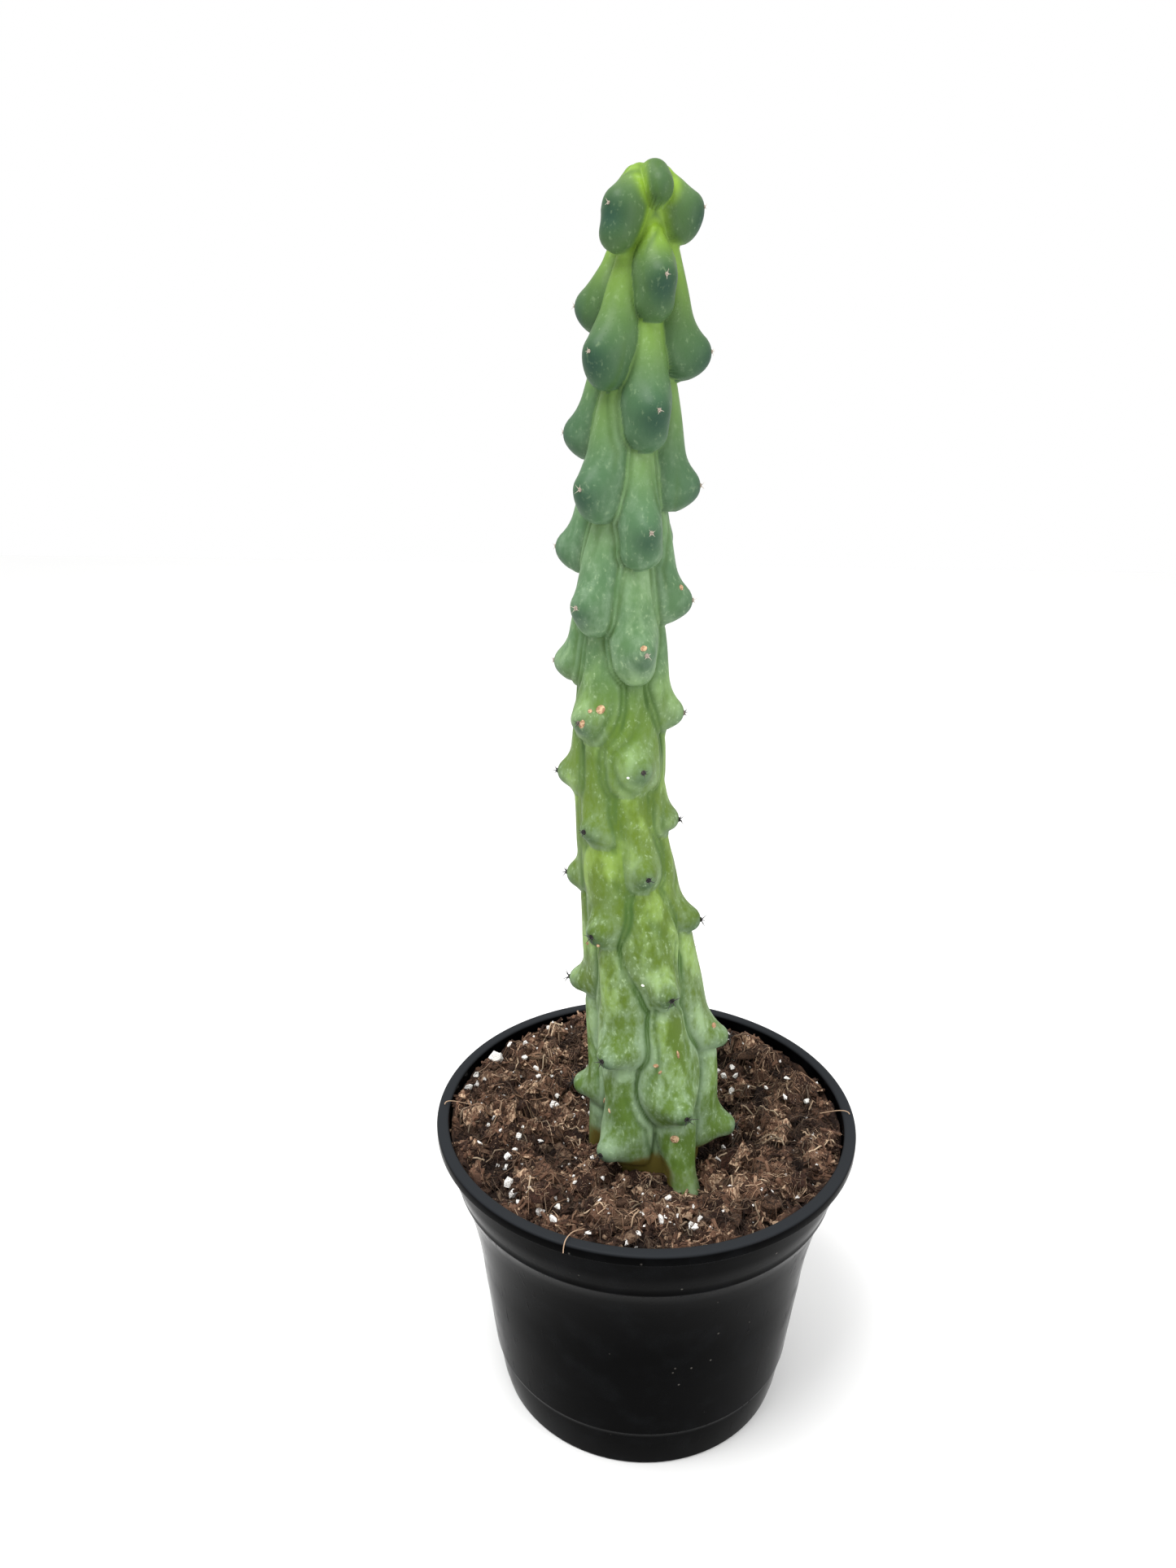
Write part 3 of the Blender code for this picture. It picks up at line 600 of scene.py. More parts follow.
# The rest: how many, their lengths, and their widths and thicknesses as shares of the length
BARK_COUNT, BARK_LENGTHS, BARK_WIDTHS, BARK_THICKNESSES = 90, (2, 6), (0.25, 0.6), (0.15, 0.35)
# How far the middles of grains and chips lie over the soil, as shares of their size, and how far chips tilt
PERLITE_RAISED, BARK_RAISED = 0.25, 0.3
GRAIN_TILT = 0.35
GRAIN_SEED = 21
WALL_ROOM = 3


def heaped(*pieces):
    """One passing object of several pieces' meshes, for things to lie on."""
    draft = bmesh.new()
    for piece in pieces:
        draft.from_mesh(piece.data)
    return link_up("heap", drawn("heap", draft))


def surface_of(thing):
    """An object's faces in the form that rays are cast at."""
    return BVHTree.FromObject(thing, bpy.context.evaluated_depsgraph_get())


def seen_on(surface, pixel):
    """Place on a surface that a pixel of the photograph shows, and the way the surface faces there."""
    return surface.ray_cast(EYE, sight(pixel))[:2]


heap = heaped(soil, strewn["peat_clods"])
ground = surface_of(heap)
bpy.data.objects.remove(heap)


def somewhere(draw):
    """A random point of the soil's surface, clear of the pot's wall."""
    reach = (pot_inside(SOIL_LEVEL) - WALL_ROOM) * MM * math.sqrt(draw.random())
    turned = draw.uniform(0, 2 * math.pi)
    over = Vector((reach * math.cos(turned), reach * math.sin(turned), 2 * POT_HEIGHT * MM))
    return ground.ray_cast(over, Vector((0, 0, -1)))[0]


def copies_tree(name, kind, inputs, smooth=True):
    """A tree that sets copies of a primitive on points, by the turn and stretch that the points carry."""
    tree, given = geometry_tree(name, {"Roughness": 0.0, "Roughness size": 0.0})
    turn, stretch = (field(tree, title, "FLOAT_VECTOR") for title in ("turn", "stretch"))
    many = copies(tree, given["Geometry"], made_by(tree, kind, inputs), turn, stretch)
    many = roughened(tree, many, given["Roughness size"], given["Roughness"])
    end_tree(tree, many, given["Material"], smooth)
    return tree


def set_down(name, tree, spots, skin, roughness, size):
    """A piece made of copies. A spot is a place in metres, a turn in Euler angles and a stretch in mm."""
    mesh = bpy.data.meshes.new(name)
    mesh.from_pydata([tuple(place) for place, _, _ in spots], [], [])
    turns = [angle for _, turn, _ in spots for angle in turn]
    stretches = [side * MM for _, _, stretch in spots for side in stretch]
    for title, values in (("turn", turns), ("stretch", stretches)):
        mesh.attributes.new(title, "FLOAT_VECTOR", "POINT").data.foreach_set("vector", values)
    roughening = {"Roughness": roughness * MM, "Roughness size": size * MM}
    return grow(name, mesh, tree, Material=skin.material, **roughening)


draw = random.Random(GRAIN_SEED)
smallest, largest = PERLITE_SIZES
grains = [(seen_on(ground, pixel)[0], size) for *pixel, size in PERLITE_SEEN]
grains += [(somewhere(draw), smallest + (largest - smallest) * draw.random() ** PERLITE_POWER)
           for _ in range(PERLITE_COUNT)]
spots = [(place + Vector((0, 0, PERLITE_RAISED * size * MM)),
          [draw.uniform(0, 2 * math.pi) for _ in range(3)],
          [size / 2 * draw.uniform(*PERLITE_STRETCH) for _ in range(3)]) for place, size in grains]
grain_tree = copies_tree("angular_grains", *BALL, smooth=False)
perlite_skin = Skin("white_perlite", Roughness=0.85, Specular_IOR_Level=0.3)
pores = perlite_skin.cells(0.5).ease(0.1, 0.5)
perlite_skin.paint(Base_Color=perlite_skin.mix(pores, (0.62, 0.58, 0.53), (0.85, 0.83, 0.8)))
perlite_skin.bump(pores, 0.2)
perlite = set_down("perlite_grains", grain_tree, spots, perlite_skin, roughness=2.2, size=1.1)
keep(perlite)

chips = [(seen_on(ground, (x, y))[0], sides, math.radians(turned)) for x, y, *sides, turned in BARK_SEEN]
for _ in range(BARK_COUNT):
    long = draw.uniform(*BARK_LENGTHS)
    sides = long, long * draw.uniform(*BARK_WIDTHS), long * draw.uniform(*BARK_THICKNESSES)
    chips.append((somewhere(draw), sides, draw.uniform(0, math.pi)))
spots = [(place + Vector((0, 0, BARK_RAISED * sides[2] * MM)),
          (draw.uniform(-GRAIN_TILT, GRAIN_TILT), draw.uniform(-GRAIN_TILT, GRAIN_TILT), turned), sides)
         for place, sides, turned in chips]
chip_tree = copies_tree("bark_slivers", "GeometryNodeMeshIcoSphere", {"Radius": 0.6, "Subdivisions": 2})
bark_skin = Skin("bark_and_husk", Specular_IOR_Level=0.25)
tone = bark_skin.reads("tone")
grain = bark_skin.noise(60, 4, (6, 1, 1), place=bark_skin.reads("own", "Vector")).ease(0.35, 0.65)
brown = bark_skin.mix(tone.ease(0.15, 0.7), (0.085, 0.034, 0.02), (0.19, 0.105, 0.063))
brown = bark_skin.mix(tone.ease(0.78, 0.95), brown, (0.34, 0.22, 0.13))
brown = bark_skin.mix(grain * 0.6, brown, (0.03, 0.013, 0.009))
bark_skin.paint(Base_Color=brown, Roughness=0.7 + 0.2 * grain)
bark_skin.bump(grain, 0.8)
bark = set_down("bark_chips", chip_tree, spots, bark_skin, roughness=2.4, size=1.5)
keep(bark)

# Fibres: thousands of short brown hairs that make the peat ragged, and hundreds of paler ones of coir.
# Each is a line bent by noise, laid on the soil and its clods from above, with a thin three-sided body.
FIBRES = {
    "peat_hairs": {
        "Per square metre": 440000.0, "Room": 1.6, "Points": 4, "Shortest": 1.2 * MM, "Longest": 4.5 * MM,
        "Curl": 5 * MM, "Curl size": 2.4 * MM, "Arch": 2.2 * MM, "Thickness": 0.1 * MM, "Seed": 14},
    "coir_hairs": {
        "Per square metre": 60000.0, "Room": 2.0, "Points": 8, "Shortest": 3 * MM, "Longest": 11 * MM,
        "Curl": 11 * MM, "Curl size": 5 * MM, "Arch": 2.6 * MM, "Thickness": 0.12 * MM, "Seed": 4},
    "coir_strands": {
        "Per square metre": 14000.0, "Room": 3.0, "Points": 8, "Shortest": 4 * MM, "Longest": 13 * MM,
        "Curl": 7 * MM, "Curl size": 8 * MM, "Arch": 2.6 * MM, "Thickness": 0.28 * MM, "Seed": 6},
}
FIBRE_COLOURS = {"peat_hairs": ((0.03, 0.0135, 0.0085), (0.4, 0.24, 0.15)),
                 "coir_hairs": ((0.15, 0.083, 0.05), (0.56, 0.39, 0.26)),
                 "coir_strands": ((0.2, 0.115, 0.068), (0.66, 0.5, 0.34))}
FIBRE_TILT = 0.2
FALL_FROM = 30 * MM
# A fibre arches up where its noise is above this value, and sinks in where it is below
ARCH_FOOT = 0.4

heap = heaped(soil, strewn["peat_clods"], bark)
curling, given = geometry_tree("curled_on_soil", {"Ground": heap, **FIBRES["peat_hairs"]})
under = made_by(curling, "GeometryNodeObjectInfo", {"Object": given["Ground"]}, "Geometry")
line = made_by(curling, "GeometryNodeCurvePrimitiveLine", {"Start": (-0.5, 0, 0), "End": (0.5, 0, 0)})
line = made_by(curling, "GeometryNodeResampleCurve", {"Curve": line, "Count": given["Points"]})
length = random_value(curling, "FLOAT", given["Shortest"], given["Longest"], 1)
turn = random_value(curling, "FLOAT_VECTOR", (0, -FIBRE_TILT, 0), (0, FIBRE_TILT, 2 * math.pi), 3)
hairs = copies(curling, strewn_points(curling, given), line, turn, length)
hairs = roughened(curling, hairs, given["Curl size"], given["Curl"])
drop_from = vector_math(curling, "ADD", made_by(curling, "GeometryNodeInputPosition"), (0, 0, FALL_FROM))
fall = add_node(curling, "GeometryNodeRaycast", {}, {
    "Target Geometry": under, "Source Position": drop_from, "Ray Direction": (0, 0, -1),
    "Ray Length": 3 * FALL_FROM})
lie = made_by(curling, "ShaderNodeTexNoise", {"Scale": calculate(curling, "DIVIDE", 1, given["Curl size"])})
arch = calculate(curling, "MULTIPLY", calculate(curling, "SUBTRACT", lie, ARCH_FOOT), given["Arch"])
lift = made_by(curling, "ShaderNodeCombineXYZ", {"Z": calculate(curling, "ADD", arch, given["Thickness"])})
resting = vector_math(curling, "ADD", fall.outputs["Hit Position"], lift)
missed = made_by(curling, "FunctionNodeBooleanMath", {0: fall.outputs["Is Hit"]}, operation="NOT")
hairs = made_by(curling, "GeometryNodeDeleteGeometry", {"Geometry": hairs, "Selection": missed})
hairs = moved(curling, hairs, Position=resting)
inputs = {"Resolution": 3, "Radius": given["Thickness"]}
section = made_by(curling, "GeometryNodeCurvePrimitiveCircle", inputs)
inputs = {"Curve": hairs, "Fill Caps": True, "Profile Curve": section}
end_tree(curling, made_by(curling, "GeometryNodeCurveToMesh", inputs), given["Material"])
for name, sizes in FIBRES.items():
    fibre_skin = Skin(name, Roughness=0.65, Specular_IOR_Level=0.3)
    shade = fibre_skin.reads("tone").ease(0.35, 1)
    brown = fibre_skin.mix(shade, *FIBRE_COLOURS[name])
    # Painted shade: fibres darken where they lie in the soil's gaps
    fibre_skin.paint(Base_Color=fibre_skin.mix(painted_gap_shade(fibre_skin) * 0.8, brown, GAP_SHADE_BROWN))
    piece = grow(name, soil.data.copy(), curling, Ground=heap, Material=fibre_skin.material, **sizes)
    keep(piece)
bpy.data.objects.remove(heap)

# Stray fibres: three long hairs that have slipped over the pot's lip and hang there, where they are seen.
# Each runs from the soil across the lip: end radius, end height and turn over its length in degrees.
STRAYS_SEEN = {(695, 1525): (64, 92.5, 2), (552, 1360): (61.5, 95.6, -4), (1036, 1372): (62, 95.6, 4)}
# Radii and heights that all three pass, and the height over the lip from which they hang
STRAY_INNER = [(54, 92.8), (57.5, 95), (60.5, 96.2)]
STRAY_TOP = 96
STRAY_RADIUS = 0.15

pot_surface = surface_of(pot)
curve = bpy.data.curves.new("stray_fibres", "CURVE")
curve.dimensions = "3D"
curve.bevel_depth = STRAY_RADIUS * MM
curve.bevel_resolution = 1
curve.use_fill_caps = True
for pixel, (end_radius, end_height, swerve) in STRAYS_SEEN.items():
    seen = seen_on(pot_surface, pixel)[0]
    azimuth = math.atan2(seen.y, seen.x)
    path = STRAY_INNER + [(end_radius, STRAY_TOP), (end_radius, end_height)]
    line = curve.splines.new("NURBS")
    line.points.add(len(path) - 1)
    line.order_u = 3
    line.use_endpoint_u = True
    for step, (radius, height) in enumerate(path):
        turned = azimuth + math.radians(swerve) * (step / (len(path) - 1) - 1) ** 2
        place = Vector((radius * math.cos(turned), radius * math.sin(turned), height)) * MM
        line.points[step].co = (*place, 1)
strays = link_up("stray_fibres", curve)
mesh = bpy.data.meshes.new_from_object(strays.evaluated_get(bpy.context.evaluated_depsgraph_get()))
bpy.data.objects.remove(strays)
stray_skin = Skin("stray_fibres", Base_Color=(0.42, 0.28, 0.18, 1), Roughness=0.65)
keep(link_up("stray_fibres", mesh, stray_skin.material))

# Stem: a living column of six ribs, each broken into knobs that hang like drops from a neck. It is green
# under a pale wax, slate blue on the knobs' ends and yellow green on the necks. It grew as one piece, so
# it is one mesh. Its form is the solid's own, with the fine folds between its ribs.
RIBS = 6
FIRST_RIB = math.radians(23)
# Heights of the areoles on the odd ribs and on the even ones, the youngest knob that tops each even rib,
# and how far the areoles of each rib are shifted upwards
AREOLES_LOW = [10, 40.5, 78, 108, 138.5, 168.5, 197, 228, 259]
AREOLES_HIGH = [-6, 21.5, 58, 92, 122.5, 153.5, 183.5, 211.5, 240.5]
YOUNGEST_HIGH = [264.5, 259.5, 260.5]
RIB_SHIFT = [4.8, 1, 0, 0.4, -1.5, 1]
STEM_TIP = 271
CORE_END = 12
LEAN_LEFT, LEFT_STRETCH = 11.8, (20, 125)
LEAN_BACK, BACK_STRETCH = 4.8, (165, 280)
# Tables of (height, value): how far the knobs' tips and the saddles between them stand out, and radii
TIP_REACH = [(0, 25), (23, 24.5), (44, 22.5), (58, 22.5), (79, 18.8), (108, 15.8), (124, 17.4),
             (139, 16.8), (153, 17.8), (168, 18), (183, 17.4), (197, 18), (212, 16.4), (228, 17.9),
             (241, 15.2), (258, 13.4)]
SADDLE_REACH = [(0, 20), (52, 18.6), (79, 15), (106, 12.3), (133, 11.9), (163, 11.4), (193, 10.6),
                (223, 10.4), (256, 7.6)]
CORE_RADIUS = [(0, 14), (50, 14), (80, 12.4), (110, 11), (150, 10.1), (200, 9.1), (240, 7.6), (259, 6)]
DROP_RADIUS = [(-2, 2), (8, 8), (60, 8.2), (120, 7.6), (155, 6.4), (183, 5.5), (212, 5.5), (241, 5),
               (260, 4.2)]
NIPPLE_LENGTH = [(0, 5.2), (60, 4.8), (110, 3.6), (150, 2.6), (200, 2), (241, 2), (260, 1.4)]
NIPPLE_ROOT = [(0, 6.5), (45, 6.5), (90, 4.4), (150, 4.2), (241, 4.6), (260, 3.4)]
NIPPLE_RADIUS = [(-2, 0.8), (8, 3.4), (80, 3.8), (110, 3.2), (150, 3.2), (200, 3.5), (260, 3.8)]
NIPPLE_BLEND, NIPPLE_START, NIPPLE_RISE = 4, 0.5, 2
DROP_FULLNESS = 0.16
# How far the drops hang below their areoles, rib by rib, and how much lower the crown's drops hang
DROP_BELOW_AREOLE = [10.3, 7, 7, 7, 7, 9]
CROWN_SAG = 1.2
# How far the round ends of the crown's knobs stand out past their areoles, rib by rib
CROWN_SWELL = [0, -1.4, 0, -1.4, 0, 0.8]
NECK_RADIUS = [(0, 7), (100, 5.4), (150, 4.4), (200, 4), (236, 3.4), (254, 2.2)]
YOUNGEST_REACH, YOUNGEST_RADIUS, YOUNGEST_BELOW = 9.8, 2.2, 4.2
# The lowest drop in front is a narrow prong that runs down into the soil, turned to the right
PRONG_TURN = math.radians(7)
# The neck at the stem's tip that all the crown's knobs hang from
TIP_NECK_REACH, TIP_NECK_HEIGHT, TIP_NECK_RADIUS = 3, 266.3, 2.7
# How widely one form runs into the next, and the fine line that is left where they meet. It is fainter
# between drops of one rib, by UNDERSIDE_SHARE, and its dark colour, darker green with painted shade, is
# full at the depth FULLY_CREASED
CREASE_SOFTNESS = [(0, 1.5), (75, 1.6), (95, 3.6), (130, 3.4), (148, 1.4), (180, 0.9), (210, 0.7)]
CREASE_DEPTH = [(0, 0.25), (15, 0.55), (75, 0.6), (95, 0.4), (128, 0.4), (145, 0.5), (200, 0.35),
                (250, 0.1)]
UNDERSIDE_SHARE = [(0, 0.3), (75, 0.35), (95, 0.15), (130, 0.15), (148, 0.8), (200, 1)]
CREASE_WIDTH = [(0, 0.6), (120, 0.7), (160, 0.6), (260, 0.5)]
FULLY_CREASED = 0.5
# Narrow folds run between the ribs: their radius, how deep they lie, and how far the ribs' edges wander, in
# waves of a share, a length and a phase from edge to edge
FOLD_RADIUS = [(0, 0.2), (18, 0.7), (60, 0.9), (120, 1.2), (190, 1.2), (225, 0.8), (245, 0.1)]
FOLD_DEPTH = 0.25
WANDER = [(0, 2.8), (110, 2.8), (150, 1.6), (190, 0.8), (250, 0)]
WANDER_WAVES = [(0.7, 7.5, 2.1), (0.3, 3.3, 1.3)]
WANDER_FROM = 5
# Shrink lines beside the folds on the old part of the stem: how far off they run and how that wavers, the
# waves that break them off, and the distances from the ribs' forms between which they fade
LINE_DEPTH = [(0, 0.1), (20, 0.6), (75, 0.65), (95, 0.5), (128, 0.5), (145, 0.55), (190, 0.3), (225, 0)]
LINE_WIDTH = 0.9
LINE_OFFSET, LINE_WAVER, WAVER_LENGTH = 4.6, 1.4, 11
BREAK_LENGTH, BREAK_BY_RIB, BREAK_BY_SIDE, BREAK_EDGE = 17, 1.9, 2.5, (-0.4, 0.5)
LINE_NEAR, LINE_FAR = 3, 6
# Faint swells all over the skin: their depth, and their wave lengths across, up, inwards and up again
SWELL = 0.22
SWELL_LENGTHS = 3.1, 5, 2.7, 4.3
# A distance that is never the nearest, and how far past its ends a drop is still measured
FAR_OFF = 100.0
DROP_MARGIN = 14
# Rays from the middle line find the skin. They droop from a stretch of heights on, and step in from outside
RAY_DROOP = math.radians(18)
DROOP_EDGE = (40, 140)
RAY_START, RAY_END, RAY_STRIDE, RAY_STEPS = 32, 1, 0.8, 34
STEM_SIDES = 240
STEM_ROWS = 340
ROW_REACH = 16
ROW_START, TOP_ROW = -9, 247
APEX_ROWS = 56

# The waxy greens of the knobs' bodies and of their necks, from the soil up
BODY_GREENS = [(20, (0.085, 0.15, 0.026)), (70, (0.078, 0.13, 0.012)), (110, (0.098, 0.16, 0.01)),
               (138, (0.096, 0.168, 0.022)), (158, (0.08, 0.158, 0.064)), (185, (0.072, 0.147, 0.068)),
               (215, (0.052, 0.113, 0.05)), (250, (0.068, 0.13, 0.036))]
NECK_GREENS = [(20, (0.16, 0.265, 0.045)), (70, (0.195, 0.305, 0.032)), (110, (0.22, 0.34, 0.032)),
               (138, (0.18, 0.305, 0.055)), (158, (0.168, 0.285, 0.1)), (185, (0.16, 0.278, 0.112)),
               (215, (0.132, 0.232, 0.06)), (248, (0.155, 0.27, 0.034)), (258, (0.19, 0.32, 0.022))]
BLOOM_GREEN = (0.28, 0.385, 0.27)
DARK_GREEN = (0.016, 0.05, 0.032)
FLECK_GREEN = (0.36, 0.48, 0.26)
# Dark green of the creases and shrink lines, deepened with painted shade
LINE_GREEN_AND_SHADE = (0.045, 0.1, 0.018)
CORK_BROWN = (0.13, 0.105, 0.022)
# The dark end of a knob sits round its areole, and its size changes with the height. The youngest knobs are
# half dark all over. A wider patch round each old areole is dusted pale
DARK_END_SIZE = [(0, 3.4), (60, 4), (120, 4.8), (150, 4), (185, 4.4), (215, 5.6), (260, 6)]
DARK_END_SINK = 2.6
DUSTED_SIZE = 9
HOLLOW_WIDTH = 3
CORE_NECK, PRONG_NECK = 0.55, 0.9
CORK_HEIGHT, CORK_FADE, CORK_REACH = 12, 8, 21
# A pale wax patch on the foot's left front, partly a painted highlight on the side the light falls on: its
# side, width and height
POWDER_AND_HIGHLIGHT_SIDE, POWDER_AND_HIGHLIGHT_WIDTH, POWDER_AND_HIGHLIGHT_HEIGHT = math.radians(-50), math.radians(32), 26
# Heights between which the foot's looks, the old skin's and the duller wax give way to those above them
FOOT_FADE, AGE_FADE, WAX_FADE = (40, 95), (140, 200), (165, 235)


def along(table, height):
    """Value at a height between the (height, value) pairs of a table."""
    heights, values = zip(*table)
    return np.interp(height, heights, values)


def stem_middle(height):
    """Where the stem's middle line stands at a height: it bows to the left and comes back near the tip."""
    x = STEM_FOOT[0] - LEAN_LEFT * ease(height, *LEFT_STRETCH) + LEAN_BACK * ease(height, *BACK_STRETCH)
    return x, np.full_like(x, STEM_FOOT[1])


def on_stem(azimuth, reach, height):
    """Point at a distance from the stem's middle line."""
    x, y = stem_middle(np.asarray(height, dtype=float))
    return np.array([x + reach * math.sin(azimuth), y - reach * math.cos(azimuth), height])


def rounded_cone(places, start, end, start_radius, end_radius, fullness=0, out=0):
    """Distance to a ball that grows as it slides from start to end. Fullness widens only its middle."""
    axis = end - start
    t = np.clip((places - start) @ axis / (axis @ axis), 0, 1)
    wider = 4 * fullness * t * (1 - t)
    nearest = start + t[..., None] * axis - wider[..., None] * out
    radius = start_radius + (end_radius - start_radius) * t + wider
    return np.linalg.norm(places - nearest, axis=-1) - radius


def blend(a, b, width):
    """Union of two distances with a soft fillet."""
    h = np.clip(width - np.abs(a - b), 0, None) / width
    return np.minimum(a, b) - h * h * width / 4


def drop_at(rib, height, above):
    """One hanging drop: its areole's azimuth and height, its neck, its round end and its tip."""
    azimuth = FIRST_RIB + rib * 2 * math.pi / RIBS
    radius = along(DROP_RADIUS, height)
    reach = along(TIP_REACH, height)
    body_reach = reach - along(NIPPLE_LENGTH, height)
    below = DROP_BELOW_AREOLE[rib]
    youngest = above is None and rib % 2 == 0
    if above is None:
        below += CROWN_SAG
        body_reach = reach + CROWN_SWELL[rib]
        neck_reach, neck_height, neck_radius = TIP_NECK_REACH, TIP_NECK_HEIGHT, TIP_NECK_RADIUS
        if youngest:
            reach = body_reach = YOUNGEST_REACH
            radius = YOUNGEST_RADIUS
            below = YOUNGEST_BELOW
    else:
        neck_height = above - below
        neck_radius = along(NECK_RADIUS, neck_height)
        neck_reach = along(SADDLE_REACH, neck_height) - neck_radius
    if rib == 0 and height < 0:
        body_reach = reach
        azimuth += PRONG_TURN
    nipple = min(along(NIPPLE_RADIUS, height), radius)
    root = min(along(NIPPLE_ROOT, height), radius)
    bottom = height - below
    return {
        "rib": rib, "azimuth": azimuth, "height": height, "top": above is None, "youngest": youngest,
        "low": bottom, "high": neck_height + neck_radius,
        "out": np.array([math.sin(azimuth), -math.cos(azimuth), 0]),
        "body": (on_stem(azimuth, neck_reach, neck_height),
                 on_stem(azimuth, body_reach - radius, bottom + radius),
                 neck_radius, radius, DROP_FULLNESS * radius),
        "tip": (on_stem(azimuth, NIPPLE_START * reach, height + NIPPLE_RISE),
                on_stem(azimuth, reach - nipple, height), root, nipple),
        "areole": on_stem(azimuth, reach, height),
    }


drops = []
for rib in range(RIBS):
    heights = [height + RIB_SHIFT[rib] for height in (AREOLES_LOW if rib % 2 else AREOLES_HIGH)]
    heights += [] if rib % 2 else [YOUNGEST_HIGH[rib // 2]]
    drops += [drop_at(rib, height, above) for height, above in zip(heights, heights[1:] + [None])]


def wandered(places):
    """Places turned about the middle line: the edges between the ribs wander and their middles stay."""
    height = places[..., 2]
    x, y = stem_middle(height)
    reach = np.hypot(places[..., 0] - x, places[..., 1] - y)
    azimuth = np.arctan2(places[..., 0] - x, y - places[..., 1])
    turned = (azimuth - FIRST_RIB) * RIBS / (2 * math.pi)
    edge = np.floor(turned)
    wave = sum(share * np.sin(height / length + phase * edge) for share, length, phase in WANDER_WAVES)
    shift = along(WANDER, height) * wave * np.sin(math.pi * turned) ** 2
    azimuth = azimuth + shift / np.maximum(reach, WANDER_FROM)
    return np.stack([x + reach * np.sin(azimuth), y - reach * np.cos(azimuth), height], axis=-1)


def measure_stem(places, levels):
    """Distance to the skin, how far its second form is behind, the nearest drop, creases and lines."""
    places = wandered(places)
    height = places[..., 2]
    x, y = stem_middle(height)
    over = np.clip(height - (STEM_TIP - CORE_END), 0, None)
    from_core = np.sqrt((places[..., 0] - x) ** 2 + (places[..., 1] - y) ** 2 + over ** 2)
    nearest = from_core - along(CORE_RADIUS, height)
    second = np.full_like(nearest, FAR_OFF)
    owner = np.full(nearest.shape, -1)
    near_rib = np.full(nearest.shape, -1)
    next_rib = np.full(nearest.shape, -1)
    ribs = np.full((RIBS, *nearest.shape), FAR_OFF)
    for number, drop in enumerate(drops):
        span = slice(*np.searchsorted(levels, (drop["low"] - DROP_MARGIN, drop["high"] + DROP_MARGIN)))
        rib = drop["rib"]
        body = rounded_cone(places[span], *drop["body"], drop["out"])
        distance = blend(body, rounded_cone(places[span], *drop["tip"]), NIPPLE_BLEND)
        closer = distance < nearest[span]
        runner_up = np.where(distance < second[span], rib, next_rib[span])
        next_rib[span] = np.where(closer, near_rib[span], runner_up)
        near_rib[span][closer] = rib
        owner[span][closer] = number
        second[span] = np.minimum(second[span], np.maximum(nearest[span], distance))
        nearest[span] = np.minimum(nearest[span], distance)
        ribs[rib][span] = np.minimum(ribs[rib][span], distance)
    radius = along(FOLD_RADIUS, height)
    groove = np.zeros_like(nearest)
    for rib in range(RIBS):
        one, other = ribs[rib], ribs[(rib + 1) % RIBS]
        fold = np.hypot(one + FOLD_DEPTH, other + FOLD_DEPTH) - radius
        closer = fold < nearest
        next_rib[closer | (fold < second)] = RIBS
        owner[closer] = len(drops)
        second = np.minimum(second, np.maximum(nearest, fold))
        nearest = np.minimum(nearest, fold)
        for side in (-1, 1):
            offset = LINE_OFFSET + LINE_WAVER * np.sin(height / WAVER_LENGTH + rib + side)
            line = one - other - side * offset
            whole = np.sin(height / BREAK_LENGTH + BREAK_BY_RIB * rib + BREAK_BY_SIDE * side)
            fade = ease(whole, *BREAK_EDGE) * ease(-np.maximum(one, other), -LINE_FAR, -LINE_NEAR)
            groove = np.maximum(groove, fade * np.exp(-(line / LINE_WIDTH) ** 2))
    apart = second - nearest
    across, up, inwards, again = SWELL_LENGTHS
    swell = np.sin(places[..., 0] / across + height / up) * np.sin(places[..., 1] / inwards + 1)
    swell = swell * np.sin(height / again)
    share = np.where((next_rib == near_rib) & (owner >= 0), along(UNDERSIDE_SHARE, height), 1)
    crease = share * np.exp(-(apart / along(CREASE_WIDTH, height)) ** 2)
    carved = along(LINE_DEPTH, height) * groove + along(CREASE_DEPTH, height) * crease
    skin = blend(nearest, second, along(CREASE_SOFTNESS, height)) + carved - SWELL * swell
    return skin, apart, owner, crease * along(CREASE_DEPTH, height) / FULLY_CREASED, groove


nominal = np.linspace(ROW_START, TOP_ROW, STEM_ROWS)
fan = np.linspace(0, 1, APEX_ROWS + 2)[1:]
droops = -RAY_DROOP * ease(nominal, *DROOP_EDGE)
starts = nominal - ROW_REACH * np.tan(droops)
fan_starts = starts[-1] + (STEM_TIP - CORE_END - starts[-1]) * np.sqrt(fan)
levels = np.concatenate([nominal, np.linspace(TOP_ROW, STEM_TIP, APEX_ROWS + 2)[1:]])
starts = np.concatenate([starts, fan_starts])
droops = np.concatenate([droops, -RAY_DROOP + (math.pi / 2 + RAY_DROOP) * fan])
azimuths = FIRST_RIB + np.arange(STEM_SIDES) * 2 * math.pi / STEM_SIDES
around, up = np.meshgrid(azimuths, starts)
tilt = np.meshgrid(azimuths, droops)[1]
origins = np.stack([*stem_middle(up), up], axis=-1)
rays = np.stack([np.cos(tilt) * np.sin(around), -np.cos(tilt) * np.cos(around), np.sin(tilt)], axis=-1)
reach = np.full(up.shape, float(RAY_START))
for step in range(RAY_STEPS):
    inward = RAY_STRIDE * measure_stem(origins + reach[..., None] * rays, levels)[0]
    reach = np.clip(reach - inward, RAY_END, None)
skin_points = origins + reach[..., None] * rays
_, apart, owner, crease, groove = measure_stem(skin_points, levels)

